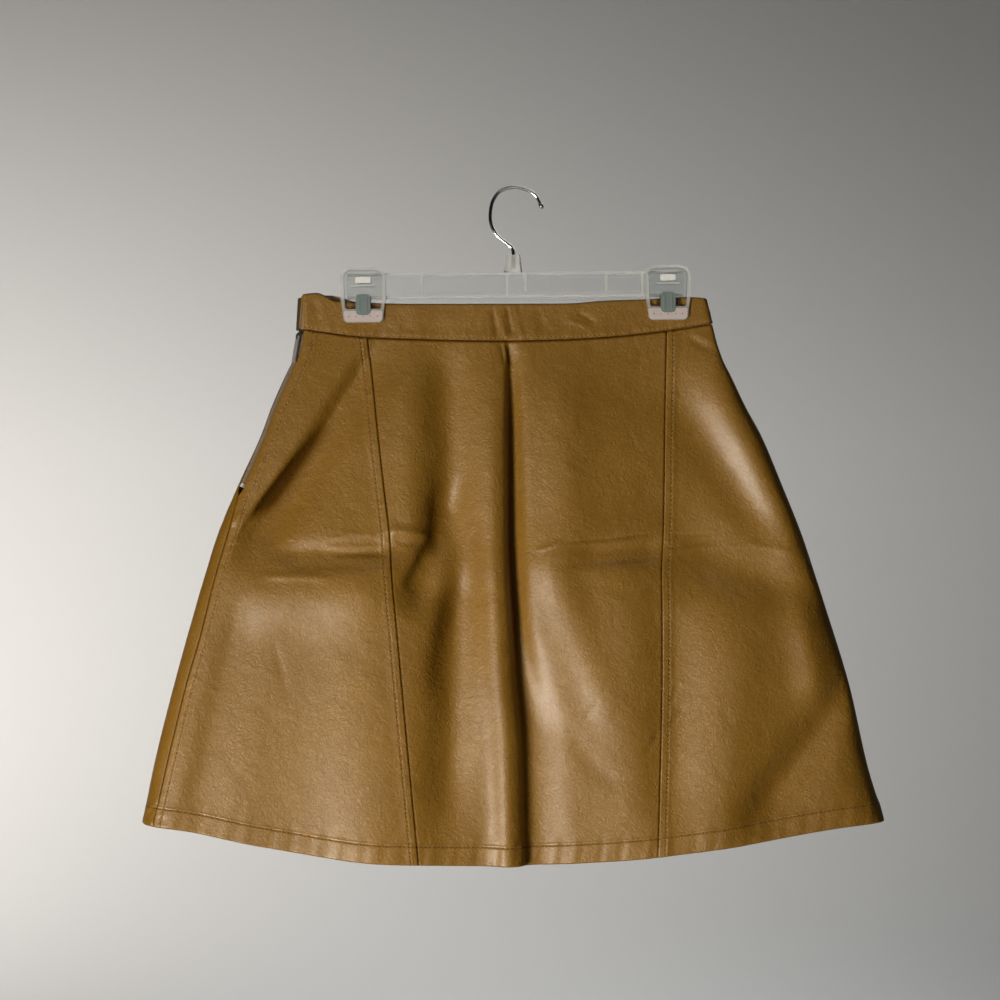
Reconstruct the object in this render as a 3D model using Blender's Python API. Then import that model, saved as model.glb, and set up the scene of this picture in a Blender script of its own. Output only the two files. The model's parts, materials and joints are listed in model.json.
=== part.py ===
"""Leather mini skirt with a side zip, hanging from a clear clip hanger.

Metres, +Z up, the skirt's face towards -Y. The origin is the underside of the
hook's top, where a peg or a rail carries the hanger. A drop is a height below
the origin. The cloth is a flattened tube: turn 0 is its left edge, turn pi its
right edge, and between them it runs over the face, then back behind.
"""
import math
from collections import namedtuple

import bmesh
import bpy
import numpy as np
from mathutils import Matrix, Vector

# Cloth
WALL = 0.0015
BAND_WALL = 0.0024
BAND_PROUD = 0.0008
BAND_FACE_END = 0.0035
BAND_BACK_END = 0.0010
SEAM_GAP = 0.0003
ROWS_BESIDE_ZIP = 9
ROWS_BELOW_ZIP = 15
BAND_ROWS = 4
BAND_COLUMNS = 40
PANEL_COLUMNS = {"front_left": 17, "front_centre": 38, "front_right": 26, "back": 36}
BEND_SPACING = 0.030
RING_SAMPLES = 2400
RING_OVERRUN = 0.8
SMALL_STEP = 1e-4
EDGE_FADE_POWER = 18
FOLD_END = 0.28
BACK_HEM_LIFT = 0.0025
RIGHT_SEAM_INSET = 0.012

# The tube's sections: its silhouette, its depth before and behind the hook's plane, its edges' radius
Section = namedtuple("Section", "drop left right front behind edge_radius")
SECTIONS = (
    Section(0.086, -0.1862, 0.1655, 0.0032, 0.0032, 0.0030),
    Section(0.119, -0.1885, 0.1738, 0.0032, 0.0032, 0.0030),
    Section(0.134, -0.1895, 0.1775, 0.0045, 0.0042, 0.0040),
    Section(0.150, -0.1940, 0.1830, 0.0065, 0.0055, 0.0055),
    Section(0.163, -0.2000, 0.1895, 0.0082, 0.0065, 0.0060),
    Section(0.190, -0.2120, 0.2024, 0.0110, 0.0080, 0.0060),
    Section(0.216, -0.2216, 0.2165, 0.0130, 0.0092, 0.0072),
    Section(0.260, -0.2418, 0.2350, 0.0152, 0.0108, 0.0086),
    Section(0.304, -0.2600, 0.2525, 0.0172, 0.0120, 0.0096),
    Section(0.337, -0.2703, 0.2634, 0.0200, 0.0128, 0.0104),
    Section(0.365, -0.2786, 0.2724, 0.0208, 0.0135, 0.0110),
    Section(0.435, -0.2980, 0.2938, 0.0222, 0.0148, 0.0120),
    Section(0.505, -0.3154, 0.3096, 0.0240, 0.0158, 0.0128),
    Section(0.557, -0.3255, 0.3255, 0.0250, 0.0165, 0.0132),
    Section(0.610, -0.3350, 0.3400, 0.0260, 0.0170, 0.0135),
)

# Level lines round the tube, over the tube's half width from -1 at the left to 1 at the right
Level = namedtuple("Level", "across drop")
WAIST_SEAM = (
    Level(-1.00, 0.1225), Level(-0.65, 0.1303), Level(0.00, 0.1333), Level(0.20, 0.1326),
    Level(0.44, 0.1305), Level(0.76, 0.1246), Level(1.00, 0.1180),
)
BAND_TOP_FRONT = (
    Level(-1.00, 0.0925), Level(-0.92, 0.0912), Level(-0.82, 0.0985), Level(-0.70, 0.0995),
    Level(-0.50, 0.1007), Level(0.30, 0.1005), Level(0.50, 0.0980), Level(0.70, 0.0968),
    Level(0.92, 0.0948), Level(1.00, 0.0955),
)
BAND_TOP_BACK = (
    Level(-1.00, 0.0930), Level(-0.85, 0.0932), Level(-0.70, 0.0995), Level(0.00, 0.1012),
    Level(0.70, 0.0975), Level(1.00, 0.0955),
)
HEM = (
    Level(-1.00, 0.5554), Level(-0.88, 0.5600), Level(-0.66, 0.5738), Level(-0.34, 0.5874),
    Level(0.00, 0.5900), Level(0.24, 0.5860), Level(0.55, 0.5743), Level(0.88, 0.5568),
    Level(1.00, 0.5528),
)

# Seams on the face, as distances from the hook's plane of symmetry
Seam = namedtuple("Seam", "drop side left right")
SEAMS = (
    Seam(0.118, -0.1872, -0.1292, 0.1336),
    Seam(0.134, -0.1880, -0.1278, 0.1334),
    Seam(0.163, -0.1982, -0.1244, 0.1328),
    Seam(0.190, -0.2101, -0.1215, 0.1324),
    Seam(0.216, -0.2196, -0.1186, 0.1319),
    Seam(0.262, -0.2386, -0.1133, 0.1312),
    Seam(0.300, -0.2487, -0.1086, 0.1304),
    Seam(0.339, -0.2601, -0.1059, 0.1284),
    Seam(0.395, -0.2740, -0.1007, 0.1288),
    Seam(0.428, -0.2838, -0.0977, 0.1287),
    Seam(0.483, -0.2973, -0.0926, 0.1276),
    Seam(0.540, -0.3104, -0.0872, 0.1259),
    Seam(0.610, -0.3255, -0.0805, 0.1235),
)

# The fold down the middle: its line, its crevice's depth, the ridge at its left, the hollow at its right
CentreFold = namedtuple("CentreFold", "drop x depth ridge hollow")
CENTRE_FOLD = (
    CentreFold(0.130, -0.0050, 0.0000, 0.0000, 0.0000),
    CentreFold(0.148, -0.0034, 0.0030, 0.0006, 0.0004),
    CentreFold(0.200, -0.0034, 0.0068, 0.0022, 0.0014),
    CentreFold(0.300, -0.0034, 0.0096, 0.0040, 0.0022),
    CentreFold(0.406, 0.0020, 0.0105, 0.0052, 0.0030),
    CentreFold(0.496, 0.0085, 0.0100, 0.0058, 0.0046),
    CentreFold(0.600, 0.0130, 0.0060, 0.0060, 0.0064),
)
CREVICE_LEFT_WIDTH = 0.0052
CREVICE_RIGHT_WIDTH = 0.0080
RIDGE_OFFSET = -0.0155
RIDGE_WIDTH = 0.0130
HOLLOW_OFFSET = 0.0070
HOLLOW_WIDTH = 0.0200

# Folds: a line over the cloth, its sideways bow, its width, and how far it stands out or dips in
Fold = namedtuple("Fold", "top_x top_drop low_x low_drop bow width top_rise low_rise")
FACE_FOLDS = (
    Fold(0.0430, 0.140, 0.0480, 0.350, 0.0, 0.0240, 0.0025, 0.0055),          # swell right of the middle
    Fold(0.1150, 0.110, 0.1480, 0.370, 0.0, 0.0420, -0.0045, -0.0090),        # upper right hollow
    Fold(0.0830, 0.270, 0.1000, 0.700, 0.0, 0.0380, 0.0060, 0.0095),          # lower right swell
    Fold(0.0300, 0.335, 0.0750, 0.410, 0.0, 0.0150, 0.0030, 0.0020),          # its bright shoulder
    Fold(0.0450, 0.320, 0.1400, 0.314, 0.0, 0.0095, -0.0028, -0.0034),        # storage fold's dip, right
    Fold(0.1400, 0.340, 0.1320, 0.580, 0.0, 0.0220, -0.0030, -0.0042),        # hollow along the seam
    Fold(-0.0560, 0.110, -0.0545, 0.330, 0.0, 0.0170, -0.0030, -0.0090),      # upper left hollow
    Fold(-0.0840, 0.140, -0.0850, 0.320, 0.0, 0.0180, 0.0020, 0.0045),        # ridge at its left
    Fold(-0.0540, 0.260, -0.0850, 0.370, 0.0020, 0.0110, -0.0060, -0.0050),   # its end, towards the seam
    Fold(-0.0250, 0.290, -0.0530, 0.410, 0.0020, 0.0150, -0.0040, -0.0070),   # lower left hollow's start
    Fold(-0.0500, 0.350, -0.0580, 0.590, 0.0, 0.0190, -0.0080, -0.0045),      # lower left hollow
    Fold(-0.1150, 0.130, -0.2400, 0.314, 0.0020, 0.0110, -0.0030, -0.0090),   # drag from the zip
    Fold(-0.1500, 0.300, -0.1300, 0.700, 0.0, 0.0470, 0.0070, 0.0120),        # left panel's swell
    Fold(-0.2200, 0.321, -0.0850, 0.315, 0.0, 0.0095, -0.0036, -0.0042),      # storage fold's dip, left
    Fold(-0.2200, 0.345, -0.1000, 0.343, 0.0, 0.0130, 0.0030, 0.0020),        # shoulder under it
    Fold(0.1620, 0.120, 0.2800, 0.360, -0.0040, 0.0230, 0.0040, 0.0085),      # drag to the right edge
    Fold(0.1250, 0.160, 0.2450, 0.330, 0.0, 0.0220, -0.0040, -0.0080),        # hollow under it
    Fold(0.1350, 0.312, 0.2900, 0.365, 0.0, 0.0220, -0.0040, -0.0070),        # top of the lower right panel
    Fold(0.2250, 0.340, 0.2050, 0.700, 0.0, 0.0380, 0.0050, 0.0110),          # right panel's swell
    Fold(0.3050, 0.395, 0.1800, 0.570, 0.0050, 0.0190, -0.0080, -0.0080),     # lower right hollow
)
BACK_FOLDS = (
    Fold(-0.1100, 0.180, -0.1500, 0.680, 0.0060, 0.0300, 0.0010, 0.0050),
    Fold(-0.0300, 0.200, -0.0450, 0.680, -0.0050, 0.0180, -0.0015, -0.0065),
    Fold(0.0450, 0.160, 0.0700, 0.680, 0.0, 0.0320, 0.0010, 0.0050),
    Fold(0.1250, 0.230, 0.1600, 0.680, 0.0080, 0.0200, -0.0015, -0.0050),
    Fold(0.1600, 0.170, 0.2300, 0.310, 0.0040, 0.0150, 0.0015, 0.0025),
    Fold(-0.1500, 0.170, -0.2250, 0.320, -0.0040, 0.0150, -0.0015, -0.0030),
)

# Side zip
ZIP_END_LEVEL = 0.322
ZIP_CLOSED_LEVEL = 0.336
ZIP_HALF_OPENING = 0.0032
CHAIN_HALF_WIDTH = 0.0018
CHAIN_THICK = 0.0012
CHAIN_RISE = 0.0004
CHAIN_TOP_DROP = 0.1270
STOP_DROP = 0.2595
STOP_SIZE = Vector((0.0036, 0.0036, 0.0024))
SLIDER_DROP = 0.1295
PULL_REACH_DROP = 0.1520
PULL_TIP_LIFT = 0.0016
PLATE_HALF_WIDTH = 0.0025
PLATE_CORNER = 0.0015
PLATE_LENGTH = 0.0080
PLATE_THICK = 0.0010
PLATE_LIFT = CHAIN_RISE + 0.0003
CLAMP_HALF_WIDTH = 0.0012
CLAMP_DEPTH = 0.0020
CLAMP_FLOOR = 0.0006
ARCH_WIDTH = 0.0012
ARCH_HALF_INSIDE = 0.0013
ARCH_THICK = 0.0009
ARCH_INSIDE_TOP = PLATE_LIFT + 0.0028
PIVOT_LIFT = PLATE_LIFT + 0.00185
PULL_WIDTH = 0.0046
PULL_LENGTH = 0.0235
PULL_THICK = 0.0011
PULL_WINDOW_WIDTH = 0.0020
PULL_WINDOW_END = 0.0034

# Hanger
WIRE_RADIUS = 0.0015
BEAD_RADIUS = 0.0024
WIRE_STEP = 0.0024
BEAD_STEPS = 5
BEAD_END_ANGLE = math.radians(170.0)
ROUTE_SAMPLES = 40
HOOK_ROUTE = (
    (-0.0008, -0.0690), (-0.0008, -0.0620), (-0.0008, -0.0550), (-0.0030, -0.0505), (-0.0080, -0.0465),
    (-0.0155, -0.0400), (-0.0200, -0.0310), (-0.0208, -0.0215), (-0.0185, -0.0105), (-0.0120, -0.0020),
    (0.0000, 0.0015), (0.0110, -0.0008), (0.0190, -0.0060), (0.0228, -0.0130),
)
BAR_HALF_LENGTH = 0.1470
BAR_CENTRE_X = 0.0010
BAR_TOP_DROP = 0.0732
BAR_HEIGHT = 0.0222
BAR_DEPTH = 0.0080
WEB_DEPTH = 0.0024
FLANGE_HEIGHT = 0.0022
BAR_TILT = math.radians(0.5)
RIB_PLACES = (-0.0815, -0.0070, 0.0090, 0.0795)
RIB_WIDTH = 0.0020
NECK_TOP_RADIUS = 0.0062
NECK_FOOT_RADIUS = 0.0082
NECK_HEIGHT = 0.0165
NECK_SIDES = 20
BORE_LENGTH = 0.0400
CLIP_PLACES = {"left": -0.1320, "right": 0.1345}
CLIP_RISE_OVER_BAR = 0.0050
JAW_WIDTH = 0.0395
JAW_HEIGHT = 0.0480
JAW_THICK = 0.0022
JAW_CORNER = 0.0080
CORNER_STEPS = 5
STRAP_WIDTH = 0.0120
STRAP_THICK = 0.0008
STRAP_DROP = 0.0135
STRAP_CORNER = 0.0016
GAP = 0.0003


def smooth_through(rows, place, value):
    """A function that runs smoothly, without overshoot, through one column of a table."""
    at = np.array([getattr(row, place) for row in rows])
    height = np.array([getattr(row, value) for row in rows])
    step = np.diff(at)
    secant = np.diff(height) / step
    before, after = secant[:-1], secant[1:]
    same_way = before * after > 0
    total = np.where(same_way, before + after, 1.0)
    middle = np.where(same_way, 2.0 * before * after / total, 0.0)
    slope = np.concatenate((secant[:1], middle, secant[-1:]))

    def read(where):
        where = np.clip(where, at[0], at[-1])
        i = np.clip(np.searchsorted(at, where, side="right") - 1, 0, len(step) - 1)
        t = (where - at[i]) / step[i]
        rise = height[i + 1] - height[i]
        bend = t * (1.0 - t) * step[i]
        return (height[i] + rise * t * t * (3.0 - 2.0 * t)
                + bend * ((1.0 - t) * slope[i] - t * slope[i + 1]))
    return read


left_at = smooth_through(SECTIONS, "drop", "left")
right_at = smooth_through(SECTIONS, "drop", "right")
front_at = smooth_through(SECTIONS, "drop", "front")
behind_at = smooth_through(SECTIONS, "drop", "behind")
edge_radius_at = smooth_through(SECTIONS, "drop", "edge_radius")
waist_at = smooth_through(WAIST_SEAM, "across", "drop")
band_top_front_at = smooth_through(BAND_TOP_FRONT, "across", "drop")
band_top_back_at = smooth_through(BAND_TOP_BACK, "across", "drop")
hem_at = smooth_through(HEM, "across", "drop")
side_seam_at = smooth_through(SEAMS, "drop", "side")
left_seam_at = smooth_through(SEAMS, "drop", "left")
right_seam_at = smooth_through(SEAMS, "drop", "right")
centre_x_at = smooth_through(CENTRE_FOLD, "drop", "x")
centre_depth_at = smooth_through(CENTRE_FOLD, "drop", "depth")
centre_ridge_at = smooth_through(CENTRE_FOLD, "drop", "ridge")
centre_hollow_at = smooth_through(CENTRE_FOLD, "drop", "hollow")


def smoothstep(value):
    value = np.clip(value, 0.0, 1.0)
    return value * value * (3.0 - 2.0 * value)


def bump(distance, width):
    return np.exp(-(distance / width) ** 2)


def folds_rise(folds, x, drop):
    """How far the cloth stands out of its smooth form at each place."""
    rise = np.zeros_like(x)
    for fold in folds:
        run_x = fold.low_x - fold.top_x
        run_drop = fold.low_drop - fold.top_drop
        length = math.hypot(run_x, run_drop)
        away_x = x - fold.top_x
        away_drop = drop - fold.top_drop
        along = (away_x * run_x + away_drop * run_drop) / length**2
        sideways = (away_x * run_drop - away_drop * run_x) / length
        sideways = sideways - 4.0 * fold.bow * along * (1.0 - along)
        height = fold.top_rise + (fold.low_rise - fold.top_rise) * np.clip(along, 0.0, 1.0)
        ends = smoothstep(along / FOLD_END) * smoothstep((1.0 - along) / FOLD_END)
        rise += height * ends * bump(sideways, fold.width)
    return rise


def centre_fold_rise(x, drop):
    """The middle's crevice, the round ridge at its left and the wide hollow at its right."""
    away = x - centre_x_at(drop)
    width = np.where(away < 0.0, CREVICE_LEFT_WIDTH, CREVICE_RIGHT_WIDTH)
    return (centre_ridge_at(drop) * bump(away - RIDGE_OFFSET, RIDGE_WIDTH)
            - centre_depth_at(drop) * bump(away, width)
            - centre_hollow_at(drop) * bump(away - HOLLOW_OFFSET, HOLLOW_WIDTH))


def cloth_surface(turn, drop):
    """Points of the cloth's outer face."""
    across = -np.cos(turn)
    left, right = left_at(drop), right_at(drop)
    half = (right - left) / 2.0
    x = (left + right) / 2.0 + half * across
    on_face = np.sin(turn) > 0.0
    front, behind = front_at(drop), behind_at(drop)
    power = 2.0 * half * edge_radius_at(drop) / ((front + behind) / 2.0) ** 2
    rim = np.sqrt(np.clip(1.0 - np.abs(across) ** power, 0.0, 1.0))
    calm = 1.0 - np.abs(across) ** EDGE_FADE_POWER
    face_y = -front * rim - calm * (folds_rise(FACE_FOLDS, x, drop) + centre_fold_rise(x, drop))
    back_y = behind * rim + calm * folds_rise(BACK_FOLDS, x, drop)
    return np.stack((x, np.where(on_face, face_y, back_y), -drop), axis=-1)


def cloth_normal(turn, drop):
    """Unit normals that point out of the tube."""
    round_the_tube = cloth_surface(turn + SMALL_STEP, drop) - cloth_surface(turn - SMALL_STEP, drop)
    down = cloth_surface(turn, drop + SMALL_STEP) - cloth_surface(turn, drop - SMALL_STEP)
    normal = np.cross(down, round_the_tube)
    return normal / np.linalg.norm(normal, axis=-1, keepdims=True)


def skirt_drop(turn, level):
    """Drop at a level of the skirt: 0 just under the waist seam, 1 at the hem."""
    across = -np.cos(turn)
    lift = np.where(np.sin(turn) > 0.0, 0.0, BACK_HEM_LIFT * (1.0 - across**2))
    top = waist_at(across) + SEAM_GAP / 2.0
    return top + (hem_at(across) - lift - top) * level


def band_drop(turn, level):
    """Drop at a level of the waistband: 0 at its top edge, 1 just above the waist seam."""
    across = -np.cos(turn)
    top = np.where(np.sin(turn) > 0.0, band_top_front_at(across), band_top_back_at(across))
    return top + (waist_at(across) - SEAM_GAP / 2.0 - top) * level


class Ring:
    """The tube at one level, measured along its length."""

    def __init__(self, drop_line, level):
        self.level = level
        self.turn = np.linspace(0.0, 2.0 * math.pi + RING_OVERRUN, RING_SAMPLES)
        self.drop = drop_line(self.turn, level)
        self.points = cloth_surface(self.turn, self.drop)
        steps = np.diff(self.points, axis=0)
        lengths = np.linalg.norm(steps, axis=1)
        headings = steps / lengths[:, None]
        bends = np.linalg.norm(np.diff(headings, axis=0), axis=1)
        self.arc = np.concatenate(([0.0], np.cumsum(lengths)))
        self.measure = self.arc + BEND_SPACING * np.concatenate(([0.0, 0.0], np.cumsum(bends)))

    def face_arc(self, seam_at):
        """Where a seam of the face crosses this ring."""
        face = self.turn <= math.pi
        past_seam = self.points[face, 0] - seam_at(self.drop[face])
        return np.interp(0.0, past_seam, self.arc[face])

    def back_arc(self, x):
        """Where the back crosses an upright line at x."""
        back = (self.turn >= math.pi) & (self.turn <= 2.0 * math.pi)
        return np.interp(-x, -self.points[back, 0], self.arc[back])

    def turn_at(self, arc):
        return np.interp(arc, self.arc, self.turn)

    def spaced_turns(self, start, end, columns):
        """Turns from one arc length to another, closer together where the cloth bends."""
        first, last = np.interp((start, end), self.arc, self.measure)
        marks = np.linspace(first, last, columns)
        return np.interp(marks, self.measure, self.turn)

    def whole(self):
        """Arc length once round, back to the left edge."""
        return np.interp(2.0 * math.pi, self.turn, self.arc)


def zip_opening(ring):
    """Half the gap at the side seam: open for the zip, a plain seam gap below it."""
    closing = (ring.level - ZIP_END_LEVEL) / (ZIP_CLOSED_LEVEL - ZIP_END_LEVEL)
    return SEAM_GAP / 2.0 + ZIP_HALF_OPENING * (1.0 - np.clip(closing, 0.0, 1.0))


def left_panel_span(ring):
    return (ring.face_arc(side_seam_at) + zip_opening(ring),
            ring.face_arc(left_seam_at) - SEAM_GAP / 2.0)


def centre_panel_span(ring):
    return (ring.face_arc(left_seam_at) + SEAM_GAP / 2.0,
            ring.face_arc(right_seam_at) - SEAM_GAP / 2.0)


def right_seam_behind(ring):
    edge = np.interp(math.pi, ring.turn, ring.points[:, 0])
    return ring.back_arc(edge - RIGHT_SEAM_INSET)


def right_panel_span(ring):
    return ring.face_arc(right_seam_at) + SEAM_GAP / 2.0, right_seam_behind(ring) - SEAM_GAP / 2.0


def back_panel_span(ring):
    return (right_seam_behind(ring) + SEAM_GAP / 2.0,
            ring.whole() + ring.face_arc(side_seam_at) - zip_opening(ring))


def band_span(ring):
    """The band starts on the face beside the zip and ends behind the left edge."""
    return ring.face_arc(side_seam_at) + BAND_FACE_END, ring.whole() - BAND_BACK_END


def clear_scene():
    for item in list(bpy.data.objects):
        bpy.data.objects.remove(item, do_unlink=True)


def make_material(name, colour, roughness, metallic=0.0, alpha=1.0):
    material = bpy.data.materials.new(name)
    material.use_nodes = True
    shader = material.node_tree.nodes["Principled BSDF"]
    shader.inputs["Base Color"].default_value = (*colour, 1.0)
    shader.inputs["Roughness"].default_value = roughness
    shader.inputs["Metallic"].default_value = metallic
    shader.inputs["Alpha"].default_value = alpha
    return material


def finish_object(name, mesh, material, smooth=True):
    if smooth:
        mesh.shade_smooth()
        mesh.set_sharp_from_angle(angle=math.radians(40.0))
    mesh.materials.append(material)
    item = bpy.data.objects.new(name, mesh)
    bpy.context.collection.objects.link(item)
    return item


def grid_wall(name, outer, inner, material):
    """A closed wall between two grids of points: rows down the cloth, columns along it."""
    rows, columns = outer.shape[:2]
    mesh = bpy.data.meshes.new(name)
    points = np.concatenate((outer.reshape(-1, 3), inner.reshape(-1, 3)))
    inside = rows * columns

    def corner(row, column, side):
        return side * inside + row * columns + column

    faces = []
    for row in range(rows - 1):
        for column in range(columns - 1):
            around = ((row, column), (row + 1, column), (row + 1, column + 1), (row, column + 1))
            faces.append([corner(*place, 0) for place in around])
            faces.append([corner(*place, 1) for place in reversed(around)])
    for column in range(columns - 1):
        for row, step in ((0, 1), (rows - 1, -1)):
            ends = (column, column + 1)[::step]
            faces.append([corner(row, ends[0], 0), corner(row, ends[1], 0),
                          corner(row, ends[1], 1), corner(row, ends[0], 1)])
    for row in range(rows - 1):
        for column, step in ((0, -1), (columns - 1, 1)):
            ends = (row, row + 1)[::step]
            faces.append([corner(ends[0], column, 0), corner(ends[1], column, 0),
                          corner(ends[1], column, 1), corner(ends[0], column, 1)])
    mesh.from_pydata([tuple(point) for point in points], [], faces)
    shape = bmesh.new()
    shape.from_mesh(mesh)
    bmesh.ops.recalc_face_normals(shape, faces=shape.faces)
    shape.to_mesh(mesh)
    shape.free()
    return finish_object(name, mesh, material)


def panel_levels():
    """Rows of the panels: closer together beside the zip, and one just below its end."""
    beside = np.linspace(0.0, ZIP_END_LEVEL, ROWS_BESIDE_ZIP)
    below = np.linspace(ZIP_CLOSED_LEVEL, 1.0, ROWS_BELOW_ZIP)
    return np.concatenate((beside, below))


def cloth_wall(name, drop_line, span, levels, columns, material, proud=0.0, wall=WALL):
    """One cut piece of the cloth, from the rings between its top and bottom edges."""
    outer, inner = [], []
    for level in levels:
        ring = Ring(drop_line, level)
        start, end = span(ring)
        turns = ring.spaced_turns(start, end, columns)
        drops = drop_line(turns, level)
        points = cloth_surface(turns, drops)
        normals = cloth_normal(turns, drops)
        outer.append(points + normals * proud)
        inner.append(points + normals * (proud - wall))
    return grid_wall(name, np.array(outer), np.array(inner), material)


def prism(outline, low, high, frame):
    """A closed body: an outline in the frame's first two axes, drawn along its third."""
    shape = bmesh.new()
    floor = [shape.verts.new(frame @ Vector((a, b, low))) for a, b in outline]
    face = shape.faces.new(floor)
    raised = bmesh.ops.extrude_face_region(shape, geom=[face])["geom"]
    moved = [item for item in raised if isinstance(item, bmesh.types.BMVert)]
    shift = frame.to_3x3() @ Vector((0.0, 0.0, high - low))
    bmesh.ops.translate(shape, verts=moved, vec=shift)
    bmesh.ops.recalc_face_normals(shape, faces=shape.faces)
    return shape


def prism_object(name, outline, low, high, frame, material, smooth=True):
    shape = prism(outline, low, high, frame)
    mesh = bpy.data.meshes.new(name)
    shape.to_mesh(mesh)
    shape.free()
    return finish_object(name, mesh, material, smooth)


def rectangle(low_a, high_a, low_b, high_b):
    return [(low_a, low_b), (high_a, low_b), (high_a, high_b), (low_a, high_b)]


def rounded_rectangle(low_a, high_a, low_b, high_b, radius):
    outline = []
    centres = ((high_a - radius, high_b - radius), (low_a + radius, high_b - radius),
               (low_a + radius, low_b + radius), (high_a - radius, low_b + radius))
    for quarter, (a, b) in enumerate(centres):
        for angle in np.linspace(0.0, math.pi / 2.0, CORNER_STEPS):
            heading = quarter * math.pi / 2.0 + angle
            outline.append((a + radius * math.cos(heading), b + radius * math.sin(heading)))
    return outline


def combine(item, tool, operation):
    """Joins or cuts with a hidden tool, applied at once."""
    modifier = item.modifiers.new(operation.lower(), "BOOLEAN")
    modifier.operation = operation
    modifier.object = tool
    bpy.context.view_layer.update()
    evaluated = item.evaluated_get(bpy.context.evaluated_depsgraph_get())
    result = bpy.data.meshes.new_from_object(evaluated)
    item.modifiers.clear()
    item.data = result
    bpy.data.objects.remove(tool, do_unlink=True)


class ZipLine:
    """The line midway between the two panels' edges beside the zip, row by row."""

    def __init__(self):
        rows = []
        for level in panel_levels()[:ROWS_BESIDE_ZIP]:
            ring = Ring(skirt_drop, level)
            ends = (ring.face_arc(side_seam_at) + zip_opening(ring),
                    ring.face_arc(side_seam_at) - zip_opening(ring))
            turns = ring.turn_at(np.where(np.array(ends) < 0.0, ring.whole() + ends, ends))
            drops = skirt_drop(turns, level)
            front, back = cloth_surface(turns, drops)
            out = cloth_normal(turns, drops).sum(axis=0)
            rows.append(np.concatenate(((front + back) / 2.0, front - back, out)))
        self.rows = np.array(rows)

    def at(self, drop):
        """The line's point, its direction across the zip and its direction out of the cloth."""
        numbers = [np.interp(drop, -self.rows[:, 2], column) for column in self.rows.T]
        point, across, out = Vector(numbers[:3]), Vector(numbers[3:6]), Vector(numbers[6:])
        return point, across.normalized(), out.normalized()

    def row_drops(self, start, end):
        """Drops of the rows between two ends, with the ends."""
        inside = [drop for drop in -self.rows[:, 2] if start < drop < end]
        return [start, *inside, end]

    def frame(self, drop, towards_drop):
        """Frame on the line: x across the zip, y down it, z out of it."""
        start, _, normal = self.at(drop)
        end = self.at(towards_drop)[0]
        down = (end - start).normalized()
        out = (normal - down * normal.dot(down)).normalized()
        frame = Matrix((down.cross(out), down, out)).transposed().to_4x4()
        frame.translation = start
        return frame


def make_zip(metal, teeth):
    line = ZipLine()
    outer, inner = [], []
    for drop in line.row_drops(CHAIN_TOP_DROP, STOP_DROP - STOP_SIZE.y / 2.0 - GAP):
        point, across, out = line.at(drop)
        face = point + out * CHAIN_RISE
        edges = (face - across * CHAIN_HALF_WIDTH, face + across * CHAIN_HALF_WIDTH)
        outer.append(edges)
        inner.append([edge - out * CHAIN_THICK for edge in edges])
    grid_wall("zip_chain", np.array(outer), np.array(inner), teeth)

    half = STOP_SIZE / 2.0
    outline = rectangle(-half.x, half.x, -half.y, half.y)
    stop_top = CHAIN_RISE * 2.0
    frame = line.frame(STOP_DROP - half.y, STOP_DROP + half.y)
    frame = frame @ Matrix.Translation((0.0, half.y, 0.0))
    prism_object("zip_stop", outline, stop_top - STOP_SIZE.z, stop_top, frame, metal, smooth=False)

    frame = line.frame(SLIDER_DROP, SLIDER_DROP + PLATE_LENGTH / 2.0)
    make_slider(frame, metal)
    pivot = frame @ Matrix.Translation((0.0, 0.0, PIVOT_LIFT))
    tip_line, _, tip_out = line.at(PULL_REACH_DROP)
    tip = pivot.inverted() @ (tip_line + tip_out * PULL_TIP_LIFT)
    make_pull(pivot @ Matrix.Rotation(math.atan2(tip.z, tip.y), 4, "X"), metal)


def make_slider(frame, metal):
    """An outer plate with an arch for the pull, and a clamp round the chain's top."""
    half_length = PLATE_LENGTH / 2.0
    plate_top = PLATE_LIFT + PLATE_THICK
    outline = rounded_rectangle(-PLATE_HALF_WIDTH, PLATE_HALF_WIDTH, -half_length, half_length,
                                PLATE_CORNER)
    slider = prism_object("zip_slider", outline, PLATE_LIFT, plate_top, frame, metal)
    # Side views are drawn with the frame's y and z as the outline's axes
    side_frame = frame @ Matrix(((0, 0, 1, 0), (1, 0, 0, 0), (0, 1, 0, 0), (0, 0, 0, 1)))
    overlap = PLATE_THICK / 2.0
    chain_start = CHAIN_TOP_DROP - SLIDER_DROP - GAP
    clamp = [
        (-half_length + overlap, PLATE_LIFT + overlap), (-half_length + overlap, -CLAMP_DEPTH),
        (half_length - overlap, -CLAMP_DEPTH), (half_length - overlap, CLAMP_FLOOR - CLAMP_DEPTH),
        (chain_start, CLAMP_FLOOR - CLAMP_DEPTH), (chain_start, PLATE_LIFT + overlap),
    ]
    tool = prism_object("clamp", clamp, -CLAMP_HALF_WIDTH, CLAMP_HALF_WIDTH, side_frame, metal)
    combine(slider, tool, "UNION")
    outside = ARCH_HALF_INSIDE + ARCH_THICK
    foot = PLATE_LIFT + overlap
    top = ARCH_INSIDE_TOP + ARCH_THICK
    arch = [
        (-outside, foot), (-outside, top - ARCH_THICK), (-ARCH_HALF_INSIDE, top),
        (ARCH_HALF_INSIDE, top), (outside, top - ARCH_THICK), (outside, foot),
        (ARCH_HALF_INSIDE, foot), (ARCH_HALF_INSIDE, ARCH_INSIDE_TOP),
        (-ARCH_HALF_INSIDE, ARCH_INSIDE_TOP), (-ARCH_HALF_INSIDE, foot),
    ]
    tool = prism_object("arch", arch, -ARCH_WIDTH / 2.0, ARCH_WIDTH / 2.0, side_frame, metal)
    combine(slider, tool, "UNION")


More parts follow.
